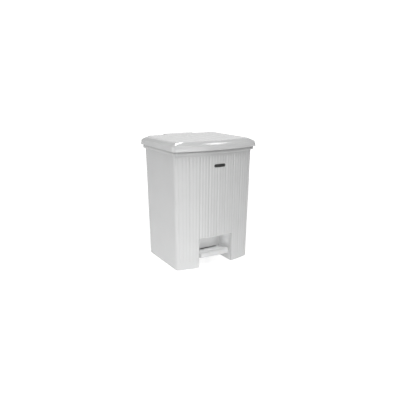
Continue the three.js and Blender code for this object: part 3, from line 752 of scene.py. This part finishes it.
def turn(below, corner, above, radius, steps=4):
    """Heights and plans along a rounded turn at a corner of the profile, which starts radius away from it."""

    def towards(start, end):
        length = math.hypot(end[0] - start[0], end[1].half - start[1].half)
        share = min(radius / length, 0.5)
        return start[0] + (end[0] - start[0]) * share, mixed(start[1], end[1], share)

    first, last = towards(corner, below), towards(corner, above)
    levels = []
    for t in evenly(0, 1, steps):
        plan = mixed(mixed(first[1], corner[1], t), mixed(corner[1], last[1], t), t)
        levels.append((on_bend(t, first[0], corner[0], last[0]), plan))
    return levels


def cap_rows(plan, us, ts, height):
    """Rows of points across a plan, from the front edge to the rear edge."""
    corner = [None] * CORNER_STEPS
    places = corner + us + corner
    rows = []
    for share in [0] + ts + [1]:
        row = []
        for (x, front, rear), place in zip(columns(plan, us), places):
            y = front + (rear - front) * share
            row.append((x, y, height(place, share, y)))
        rows.append(row)
    return rows


def lid_height(place, share, _y):
    """The plate is flat, with grooves from front to rear that fade out before its edges."""
    if place is None:
        return LID_HIGH.z
    start, end = LID_RIB["ends"]
    fade = smooth_step(share, start, end) * (1 - smooth_step(share, 1 - end, 1 - start))
    return LID_HIGH.z - groove_depth(LID_GROOVES, place) * LID_RIB["depth_share"] * fade


LID_GROOVES = groove_list(LID_SPAN - 2)


def outline_of(rows):
    """The points round the edge of a cap's rows, in the order of ring()."""
    right = [row[-1] for row in rows[1:-1]]
    left = [row[0] for row in reversed(rows[1:-1])]
    return rows[0] + right + rows[-1][::-1] + left


def lid_sheet():
    """The lid's outer face: skirt, shoulder and plate, with the tongue and the barrel behind it."""
    us = lines(mirrored([BARREL["half"], TONGUE["half"], LID_SPAN]) + [0], groove_lines(LID_GROOVES))
    start, end = LID_RIB["ends"]
    fade_lines = [start / 2, start, (start + end) / 2, end]
    ts = lines([0, 1], fade_lines + [1 - t for t in fade_lines], least=0.01, most=0.2)[1:-1]
    bottom, skirt_top = (SKIRT_BOTTOM_Z, SKIRT_BOTTOM), (SKIRT_TOP_Z, SKIRT_TOP)
    shoulder, plate_edge = (SHOULDER_Z, SHOULDER), (LID_HIGH.z, PLATE)
    levels = [bottom, ((SKIRT_BOTTOM_Z + SKIRT_TOP_Z) / 2, mixed(SKIRT_BOTTOM, SKIRT_TOP, 0.5))]
    levels += turn(bottom, skirt_top, shoulder, EDGE_ROUND)
    levels += turn(skirt_top, shoulder, plate_edge, EDGE_ROUND)
    plate = cap_rows(PLATE, us, ts, lid_height)
    edge = outline_of(plate)
    rows = rings(levels, us, ts) + [edge]
    rear = rear_quads(us, ts)

    def keep(i, j):
        return j not in rear or abs(edge[j][0] + edge[(j + 1) % len(edge)][0]) / 2 > TONGUE["half"]

    sheet = Sheet()
    sheet.grid(rows, closed=True, keep=keep)
    sheet.grid(plate)
    tongue = [p for p in plate[-1] if abs(p[0]) <= TONGUE["half"] + SNAP]
    sheet.grid([[(x, y + (HINGE["y"] - y) * share, z) for x, y, z in tongue] for share in (0, 0.5, 1)])
    barrel = [x for x, _, _ in tongue if abs(x) <= BARREL["half"] + SNAP]
    section = arc(HINGE["y"], HINGE["z"], HINGE["radius"], *BARREL["angles"], 20)
    sheet.grid([[(x, y, z) for x in barrel] for y, z in section])
    return sheet


def crank_lug(side):
    """A lug under the tongue with the round eye that the rod's upper pin moves in."""
    centre_y, centre_z, reach = CRANK["y"], CRANK["z"], CRANK["reach"]
    inside_plate, steps = 1, 48
    height = LID_HIGH.z - inside_plate - centre_z
    corner = math.atan2(height, reach)
    angles = sorted(evenly(0, 2 * math.pi, steps)[:-1] + [corner, math.pi - corner])
    outer, inner = [], []
    for c, s in [(math.cos(angle), math.sin(angle)) for angle in angles]:
        radius = min(reach / max(abs(c), 1e-6), height / s) if s > 0 else reach
        outer.append((centre_y + c * radius, centre_z + s * radius))
        inner.append((centre_y + c * CRANK["hole"], centre_z + s * CRANK["hole"]))
    x0, x1 = between(side, CRANK["near"], CRANK["far"])
    sheet = Sheet()
    loops = [(x0, inner), (x0, outer), (x1, outer), (x1, inner), (x0, inner)]
    sheet.grid([[(x, y, z) for y, z in loop] for x, loop in loops], closed=True)
    return rounded(closed_body(sheet), FREE_EDGE)


def tongue_cheek(side):
    """The wall at one end of the tongue, rounded behind the hinge."""
    y, bottom, top = HINGE["y"], TONGUE["bottom"], LID_HIGH.z - CHEEK["below"]
    outline = [(CHEEK["front"], bottom), (y, bottom - CHEEK["drop"])]
    outline += arc(y, HINGE["z"], HINGE["radius"], -CHEEK["arc"], CHEEK["arc"], 24)
    outline += [(y, top), (CHEEK["front"], top)]
    x0, x1 = between(side, TONGUE["half"] - TONGUE["wall"], TONGUE["half"] - CHEEK["inside"])
    return prism(outline, x0, x1, FREE_EDGE)


def hinge_knuckle(side):
    """The ring inside the barrel that turns on a hinge pin."""
    x0, x1 = between(side, KNUCKLE["near"], BARREL["half"] - KNUCKLE["play"])
    hole, rim = HINGE["pin_hole"], HINGE["radius"] - KNUCKLE["inside"]
    outline = [(x0, hole), (x1, hole), (x1, rim), (x0, rim), (x0, hole)]
    return turned(outline, (0, HINGE["y"], HINGE["z"]), steps=48)


def bumper_post(side):
    """A round post that holds a rubber bumper."""
    bottom, top = SHELL_HIGH.z + BUMPER["clear"], BUMPER["top"]
    radius, edge = BUMPER["radius"], BUMPER["edge"]
    outline = [(bottom, 0), (bottom, radius - edge), (bottom + edge, radius), (top, radius), (top, 0)]
    return turned(outline, (side * BUMPER["x"], BUMPER["y"], 0), "Z")


def lid():
    """The lid's shell with everything moulded to its underside."""
    mesh = rounded(thickened(lid_sheet(), TONGUE["wall"]), FREE_EDGE, at_height(SKIRT_BOTTOM_Z))
    parts = []
    for side in (-1, 1):
        parts += [tongue_cheek(side), hinge_knuckle(side), crank_lug(side), bumper_post(side)]
    piece("lid_shell", joined(mesh, *parts), "lid", LID_PLASTIC, ["lid"])


# ---- Pedal tread ----

TREAD_BOW = 1.2
TREAD_PLAN = Plan(TREAD_HIGH.x, TREAD_HIGH.y, TREAD_LOW.y + TREAD_BOW, TREAD_BOW, 6)
TREAD = {"slope": 0.175, "round": 2.4, "round_steps": 5, "wall": 2.2, "slot": 11}
TREAD_GROOVE = {"count": 6, "first": 10, "pitch": 7.5, "width": 2.6, "depth": 0.9, "fade": (2, 3, 4)}
TREAD_BOTTOM = {"front": 30, "rear": 28.6, "flat": 8}


def tread_top(y):
    return TREAD_HIGH.z - (y - TREAD_LOW.y) * TREAD["slope"]


def tread_bottom(y):
    length = TREAD_HIGH.y - TREAD_LOW.y - TREAD_BOTTOM["flat"]
    share = max(0, (y - TREAD_LOW.y - TREAD_BOTTOM["flat"]) / length)
    return TREAD_BOTTOM["front"] + (TREAD_BOTTOM["rear"] - TREAD_BOTTOM["front"]) * share


def tread_grooves():
    """Y of each cross groove."""
    first = TREAD_LOW.y + TREAD_GROOVE["first"]
    return [first + i * TREAD_GROOVE["pitch"] for i in range(TREAD_GROOVE["count"])]


def tread_sheet():
    """The tread's outer face: the grooved top, its rounded edge and the lip all round, with a slot behind."""
    radius, round_steps = TREAD["round"], TREAD["round_steps"]
    plate_plan = inset(TREAD_PLAN, radius)
    span = plate_plan.half - plate_plan.corner
    fade_end, fade_middle, fade_start = [span - distance for distance in TREAD_GROOVE["fade"]]
    us = lines(mirrored([TREAD["slot"], fade_middle, span]) + [0], most=12)
    front = plate_plan.front + plate_plan.corner
    length = plate_plan.rear - plate_plan.corner - front
    marks = [g + TREAD_GROOVE["width"] * k / 4 for g in tread_grooves() for k in range(-2, 3)]
    ts = lines([0, 1], [(y - front) / length for y in marks], least=0.004, most=0.1)[1:-1]

    def height(place, _share, y):
        z = tread_top(y)
        if place is None or abs(place) > fade_end:
            return z
        fade = 1 - smooth_step(abs(place), fade_start, fade_end)
        away = min(abs(y - g) for g in tread_grooves()) / (TREAD_GROOVE["width"] / 2)
        return z - (TREAD_GROOVE["depth"] * (1 + math.cos(math.pi * away)) / 2 * fade if away < 1 else 0)

    plate = cap_rows(plate_plan, us, ts, height)
    edge = outline_of(plate)
    rows = [edge]
    for drop, share in quarter_turn(round_steps)[1:]:
        outline = ring(inset(TREAD_PLAN, radius * share), us, ts)
        rows.append([(x, y, tread_top(y) - radius * drop) for x, y in outline])
    rows.append([(x, y, tread_bottom(y)) for x, y in ring(TREAD_PLAN, us, ts)])
    rear = rear_quads(us, ts)

    def keep(i, j):
        in_slot = j in rear and abs(edge[j][0] + edge[j + 1][0]) / 2 < TREAD["slot"]
        return not (i >= round_steps and in_slot)

    sheet = Sheet()
    sheet.grid(list(reversed(rows)), closed=True, keep=lambda i, j: keep(len(rows) - 2 - i, j))
    sheet.grid(plate)
    return sheet


def pedal_tread():
    mesh = thickened(tread_sheet(), TREAD["wall"])
    piece("tread_plate", mesh, "pedal", TREAD_PLASTIC, ["pedal_tread"])


# ---- Inner bucket ----

# The ears that the bail turns in, and the blocks that it rests on.
EAR = {"y": -4, "z": 345, "radius": 6, "near": 116, "hole": 2.8, "edge": 0.8, "sunk": 0.6}
REST = {"near": 109, "front": -64, "rear": -57, "top": 342, "depth": 4, "edge": 0.8, "sunk": 0.3}
BUCKET_WALL = 2
FLOOR_ROUND = 8
LIP_ROUND = 1.5
# The flange's notches round the lid's bumpers and crank.
NOTCH = {"inside": 5.5, "outside": 2, "half": 10, "crank_half": 16, "crank_front": 0.2, "past": 1}


def bucket_sheet():
    """The bucket's inner face: floor, walls and the top of the flange."""
    ts = lines([0, 1], most=0.12)[1:-1]
    inner_top = inset(BUCKET_TOP, BUCKET_WALL)
    floor_z = BUCKET_LOW.z + BUCKET_WALL
    floor_plan = inset(BUCKET_BOTTOM, BUCKET_WALL + FLOOR_ROUND)
    span = floor_plan.half - floor_plan.corner
    us = lines(mirrored([span]) + [0], most=12)
    floor_steps, lip_steps = 8, 4
    levels = []
    for rise, share in quarter_turn(floor_steps)[:-1]:
        plan = inset(BUCKET_BOTTOM, BUCKET_WALL + FLOOR_ROUND * share)
        levels.append((floor_z + FLOOR_ROUND * rise, plan))
    for share in (0.02, 0.5, 1):
        z = floor_z + FLOOR_ROUND + (BUCKET_HIGH.z - LIP_ROUND - floor_z - FLOOR_ROUND) * share
        levels.append((z, mixed(inset(BUCKET_BOTTOM, BUCKET_WALL), inner_top, share)))
    for outwards, below in quarter_turn(lip_steps)[1:]:
        levels.append((BUCKET_HIGH.z - LIP_ROUND * below, inset(inner_top, -LIP_ROUND * outwards)))
    levels.append((BUCKET_HIGH.z, FLANGE))
    sheet = Sheet()
    sheet.grid(rings(reversed(levels), us, ts), closed=True)
    sheet.grid(cap_rows(floor_plan, us, ts, lambda *_: floor_z))
    return sheet


def flange_notches():
    """Blocks that cut the notches out of the flange."""
    low, high = SHELL_HIGH.z, BUCKET_HIGH.z + NOTCH["past"]

    def block(x0, x1, y0, y1):
        return prism([(y0, low), (y1, low), (y1, high), (y0, high)], x0, x1, 0)

    blocks = []
    for side in (-1, 1):
        x0, x1 = between(side, BUMPER["x"] - NOTCH["inside"], FLANGE.half + NOTCH["outside"])
        blocks.append(block(x0, x1, BUMPER["y"] - NOTCH["half"], BUMPER["y"] + NOTCH["half"]))
    half, front = NOTCH["crank_half"], BUCKET_TOP.rear + NOTCH["crank_front"]
    blocks.append(block(-half, half, front, FLANGE.rear + NOTCH["past"]))
    return joined(*blocks)


def bail_ear(side):
    """A ring on the bucket's side wall that the bail's end turns in."""
    inner, outer = side * EAR["near"], side * (BUCKET_TOP.half - BUCKET_WALL + EAR["sunk"])
    radius, hole, edge = EAR["radius"], EAR["hole"], EAR["edge"]
    outline = [(inner, hole), (inner, radius - edge), (inner + side * edge, radius)]
    outline += [(outer, radius), (outer, hole), (inner, hole)]
    return turned(outline, (0, EAR["y"], EAR["z"]))


def bail_rest(side):
    """A block on the bucket's side wall that the bail lies on."""
    bottom, top = REST["top"] - REST["depth"], REST["top"]
    x0, x1 = between(side, REST["near"], BUCKET_TOP.half - BUCKET_WALL + REST["sunk"])
    outline = [(REST["front"], bottom), (REST["rear"], bottom), (REST["rear"], top), (REST["front"], top)]
    return prism(outline, x0, x1, REST["edge"])


def bucket():
    mesh = cut(thickened(bucket_sheet(), BUCKET_WALL), flange_notches())
    for side in (-1, 1):
        mesh = joined(mesh, bail_ear(side), bail_rest(side))
    piece("bucket_liner", mesh, "bucket", BUCKET_PLASTIC, ["inner_bucket"])


# ---- Bail and its grip ----

BAIL = {"radius": 2.5, "arm": 112.5, "end": 120.5, "front": -86, "corner": 14, "elbow": 4}
GRIP = {"radius": 7.5, "half": 45, "bore": 2.8, "first_ring": 6, "end_margin": 5}
# (along, down) of the rounded ends, and the ring grooves' half widths at the top and the bottom.
GRIP_EDGE = [(0, 1.6), (0.5, 0.6), (1.6, 0)]
GRIP_RING = {"pitch": 7.5, "depth": 0.7, "top": 1.2, "bottom": 0.5}


def bend(start, corner, end, steps=10):
    """Points along a round bend."""
    ways = list(zip(start, corner, end))
    return [[on_bend(t, *way) for way in ways] for t in evenly(0, 1, steps)]


def bail_half():
    """The bail's centre line from an ear to the middle of its front, in plan, on the right."""
    arm, elbow, corner, front, y = BAIL["arm"], BAIL["elbow"], BAIL["corner"], BAIL["front"], EAR["y"]
    points = [(BAIL["end"], y)]
    points += bend((arm + elbow, y), (arm, y), (arm, y - elbow))
    points += bend((arm, front + corner), (arm, front), (arm - corner, front))
    return points


def bail():
    """A wire swept along its centre line, level at the ears' height."""
    half, sides = bail_half(), 20
    path = [Vector((x, y)) for x, y in half] + [Vector((-x, y)) for x, y in reversed(half)]
    sheet = Sheet()
    rows = []
    for i, centre in enumerate(path):
        ahead = path[min(i + 1, len(path) - 1)] - path[max(i - 1, 0)]
        across = Vector((-ahead.y, ahead.x)).normalized()
        row = []
        for angle in evenly(0, 2 * math.pi, sides)[:-1]:
            place = centre + across * BAIL["radius"] * math.cos(angle)
            row.append((place.x, place.y, EAR["z"] + BAIL["radius"] * math.sin(angle)))
        rows.append(row)
    made = sheet.grid(rows, closed=True)
    sheet.mesh.faces.new(list(reversed(made[0])))
    sheet.mesh.faces.new(made[-1])
    piece("bail_wire", sheet.mesh, "bail", ROD_STEEL, ["bucket_bail"])


def bail_grip():
    """A sleeve round the middle of the bail, with rounded ends and a row of ring grooves."""
    half, radius, bore = GRIP["half"], GRIP["radius"], GRIP["bore"]
    top, bottom, deep = GRIP_RING["top"], GRIP_RING["bottom"], radius - GRIP_RING["depth"]
    outline = [(-half, bore)] + [(-half + along, radius - down) for along, down in GRIP_EDGE]
    centre = -half + GRIP["first_ring"]
    while centre < half - GRIP["end_margin"]:
        outline += [(centre - top, radius), (centre - bottom, deep)]
        outline += [(centre + bottom, deep), (centre + top, radius)]
        centre += GRIP_RING["pitch"]
    outline += [(half - along, radius - down) for along, down in reversed(GRIP_EDGE)]
    outline += [(half, bore), (-half, bore)]
    mesh = turned(outline, (0, BAIL["front"], EAR["z"]))
    piece("bail_grip_sleeve", mesh, "bail", GRIP_PLASTIC, ["bail_grip"])


# ---- Badge ----

BADGE = {"x": 5, "z": 308.5, "half": 19, "radius": 4.5, "height": 0.9, "sunk": 1.4}
# How far in and how high, as a share of the badge's height, its rounded edge runs.
BADGE_EDGE = [(0, 0.5), (0.3, 0.9), (0.8, 1)]


def badge():
    """A plain dark pill with no lettering, which follows the bowed front."""
    half, radius = BADGE["half"], BADGE["radius"]
    straight = half - radius
    turn_round = [(straight + radius * math.sin(a), -radius * math.cos(a)) for a in evenly(0, math.pi, 16)]
    half_outline = turn_round + [(x, radius) for x in evenly(straight, -straight, 12)[1:-1]]
    outline = half_outline + [(-x, -z) for x, z in half_outline]

    def loop(scale_in, lift):
        points = []
        for across, up in outline:
            x = BADGE["x"] + across * (1 - scale_in / half)
            z = BADGE["z"] + up * (1 - scale_in / radius)
            points.append((x, front_y(shell_plan(z), x) - lift, z))
        return points

    loops = [loop(0, -BADGE["sunk"])] + [loop(inwards, BADGE["height"] * up) for inwards, up in BADGE_EDGE]
    sheet = Sheet()
    made = sheet.grid(loops, closed=True)
    sheet.mesh.faces.new(list(reversed(made[0])))
    sheet.mesh.faces.new(made[-1])
    piece("front_badge", sheet.mesh, "shell", BADGE_PLASTIC)


# ---- CAD parts whose shape is right ----


def smooth_by_angle():
    """A node group that shades a mesh smooth except across its sharp edges."""
    group = bpy.data.node_groups.new("smooth_by_angle", "GeometryNodeTree")
    for way in ("INPUT", "OUTPUT"):
        group.interface.new_socket("Geometry", in_out=way, socket_type="NodeSocketGeometry")
    nodes, links = group.nodes, group.links
    start, end = nodes.new("NodeGroupInput"), nodes.new("NodeGroupOutput")
    angle = nodes.new("GeometryNodeInputMeshEdgeAngle")
    limit = nodes.new("FunctionNodeCompare")
    limit.data_type = "FLOAT"
    limit.operation = "LESS_EQUAL"
    limit.inputs["B"].default_value = SHARP_ANGLE
    faces, edges = nodes.new("GeometryNodeSetShadeSmooth"), nodes.new("GeometryNodeSetShadeSmooth")
    faces.domain = "FACE"
    edges.domain = "EDGE"
    links.new(angle.outputs["Unsigned Angle"], limit.inputs["A"])
    links.new(limit.outputs["Result"], edges.inputs["Shade Smooth"])
    for before, after in ((start, faces), (faces, edges), (edges, end)):
        links.new(before.outputs["Geometry"], after.inputs["Geometry"])
    return group


SMOOTH = smooth_by_angle()
# Edges of CAD parts sharper than this are rounded.
BEVEL_ANGLE = math.radians(40)


def refine(nodes, material, radius=0):
    """Smooth shading, a finish and, given a radius, rounded edges for CAD parts that keep their shape."""
    for name in nodes:
        part = frame["nodes"][name]
        weld = part.modifiers.new("Weld", "WELD")
        weld.merge_threshold = SNAP * MM
        if radius:
            bevel = part.modifiers.new("Bevel", "BEVEL")
            bevel.width = radius * MM
            bevel.segments = 2
            bevel.angle_limit = BEVEL_ANGLE
        shade = part.modifiers.new("Smooth", "NODES")
        shade.node_group = SMOOTH
        for material_slot in part.material_slots:
            material_slot.material = material


def named(*starts):
    """The CAD nodes whose names start in one of these ways."""
    return [n for n in sorted(frame["nodes"]) if n.startswith(starts)]


outer_shell()
lid()
pedal_tread()
bucket()
bail()
bail_grip()
badge()
refine(["rear_column"], SHELL_PLASTIC, 0.8)
refine(["base_plate"] + named("rod_guide", "axle_cap"), INNER_PLASTIC, 0.4)
refine(named("foot_", "lid_bumper"), FOOT_RUBBER, 0.4)
refine(["pedal_lever"], LEVER_STEEL)
refine(["push_rod", "pedal_axle"] + named("rod_pin", "hinge_pin"), ROD_STEEL, 0.2)
refine(named("base_screw", "column_screw"), SCREW_STEEL, 0.2)

# ---- Stage, light and camera ----

MIDDLE = (CAD_BOX[0] + CAD_BOX[1]) / 2


def stage_mesh(name, rows, emission, tone):
    """A plain pale surface that isn't part of the object."""
    sheet = Sheet()
    sheet.grid(rows)
    data = mesh_data(name, sheet.mesh)
    made = in_scene(name, data)
    nodes = Nodes(name + "_paper")
    nodes.colour(nodes.noise(scale=3, detail=2), grey(tone * 0.97), grey(tone))
    white = (1, 1, 1, 1)
    set_inputs(nodes.shader, {"Roughness": 0.9, "Emission Color": white, "Emission Strength": emission})
    data.materials.append(nodes.material)
    return made


FLOOR = {"half": 900, "below": 0.05, "glow": 0.66, "tone": 0.88}
BACKDROP = {"radius": 5400, "bottom": -4000, "top": 6000, "glow": 1.0, "tone": 0.9}
# The card on the floor: its rear right corner, how far it is turned to the right, and its size in metres.
CARD = {"x": -45, "y": SHELL_BOTTOM.front + 14, "azimuth": 21, "width": 1.6, "length": 2.0}


def floor():
    span = (-FLOOR["half"], FLOOR["half"])
    rows = [[(x, y, -FLOOR["below"]) for x in span] for y in span]
    made = stage_mesh("floor", rows, FLOOR["glow"], FLOOR["tone"])
    made.visible_glossy = False


def backdrop():
    """A white wall all round, which only the camera sees."""
    angles = evenly(0, 2 * math.pi, 64)
    circle = [(BACKDROP["radius"] * math.cos(a), BACKDROP["radius"] * math.sin(a)) for a in angles]
    rows = [[(x, y, BACKDROP[end]) for x, y in circle] for end in ("bottom", "top")]
    made = stage_mesh("backdrop", rows, BACKDROP["glow"], BACKDROP["tone"])
    made.visible_diffuse = made.visible_glossy = False
    made.visible_shadow = made.visible_transmission = False


def direction(azimuth, elevation):
    """The direction from the object to a place. Azimuth 0 is in front, positive to the right."""
    a, e = math.radians(azimuth), math.radians(elevation)
    return Vector((math.sin(a) * math.cos(e), -math.cos(a) * math.cos(e), math.sin(e)))


def area_light(name, width, height, power, place, rotation):
    """A rectangular light that the camera doesn't see. Sizes and place are in metres."""
    light = bpy.data.lights.new(name, "AREA")
    light.shape = "RECTANGLE"
    light.size = width
    light.size_y = height
    light.energy = power
    made = in_scene(name, light)
    made.location = place
    made.rotation_euler = rotation
    made.visible_camera = False
    return made


def softbox(name, azimuth, elevation, distance, width, height, power, glossy_only=False):
    """A soft area light that faces the object. A glossy-only one shows just as a reflection."""
    away = direction(azimuth, elevation)
    rotation = away.to_track_quat("Z", "Y").to_euler()
    made = area_light(name, width, height, power, MIDDLE + away * distance, rotation)
    made.visible_diffuse = not glossy_only


def floor_card(power):
    """A bright card on the floor, left of the front, that shows only as a reflection."""
    above_floor = 0.001
    outward, right = direction(CARD["azimuth"], 0), direction(CARD["azimuth"] + 90, 0)
    corner = Vector((CARD["x"] * MM, CARD["y"] * MM, above_floor))
    place = corner + outward * CARD["length"] / 2 - right * CARD["width"] / 2
    rotation = (math.pi, 0, math.radians(CARD["azimuth"]))
    made = area_light("floor_card", CARD["width"], CARD["length"], power, place, rotation)
    made.visible_diffuse = False


def recess_fill(power):
    """A small soft light in the mouth of the pedal recess, which leaves no reflection."""
    side_margin, height_margin, ahead = 8, 10, 4
    width = (RECESS["half"] - side_margin) * 2 * MM
    height = (RECESS["top"] - TREAD_HIGH.z - height_margin) * MM
    place = Vector((0, SHELL_BOTTOM.front - ahead, (RECESS["top"] + TREAD_HIGH.z) / 2)) * MM
    made = area_light("recess_fill", width, height, power, place, (math.pi / 2, 0, 0))
    made.visible_glossy = False


def world(strength):
    made = bpy.data.worlds.new("studio")
    made.use_nodes = True
    set_inputs(made.node_tree.nodes["Background"], {"Color": (1, 1, 1, 1), "Strength": strength})
    bpy.context.scene.world = made


def camera(azimuth, elevation, distance, rightwards, upwards, lens):
    """A camera that looks at the object from an azimuth, moved sideways and up to frame it."""
    data = bpy.data.cameras.new("camera")
    data.lens = lens
    made = in_scene("camera", data)
    back = direction(azimuth, elevation)
    right = direction(azimuth + 90, 0)
    up = back.cross(right)
    made.location = MIDDLE + (back * distance + right * rightwards + up * upwards) * MM
    made.rotation_euler = back.to_track_quat("Z", "Y").to_euler()
    bpy.context.scene.camera = made


floor()
backdrop()
world(strength=0.2)
softbox("left_softbox", -100, 10, distance=1.8, width=1.2, height=1.2, power=6.5)
softbox("top_softbox", -20, 60, distance=1.8, width=1.4, height=1.4, power=18)
softbox("rear_card", 149, 14, distance=2.5, width=2.5, height=1.2, power=6.5, glossy_only=True)
softbox("front_card", -15, 10, distance=2.0, width=2.4, height=0.7, power=14, glossy_only=True)
softbox("bevel_card", 145, 52, distance=2.0, width=1.3, height=0.9, power=24, glossy_only=True)
floor_card(power=18)
recess_fill(power=0.0135)
camera(azimuth=-30.82, elevation=14.34, distance=1420.1, rightwards=9.3, upwards=-9.6, lens=40.5)
bpy.context.scene.view_settings.view_transform = "Standard"
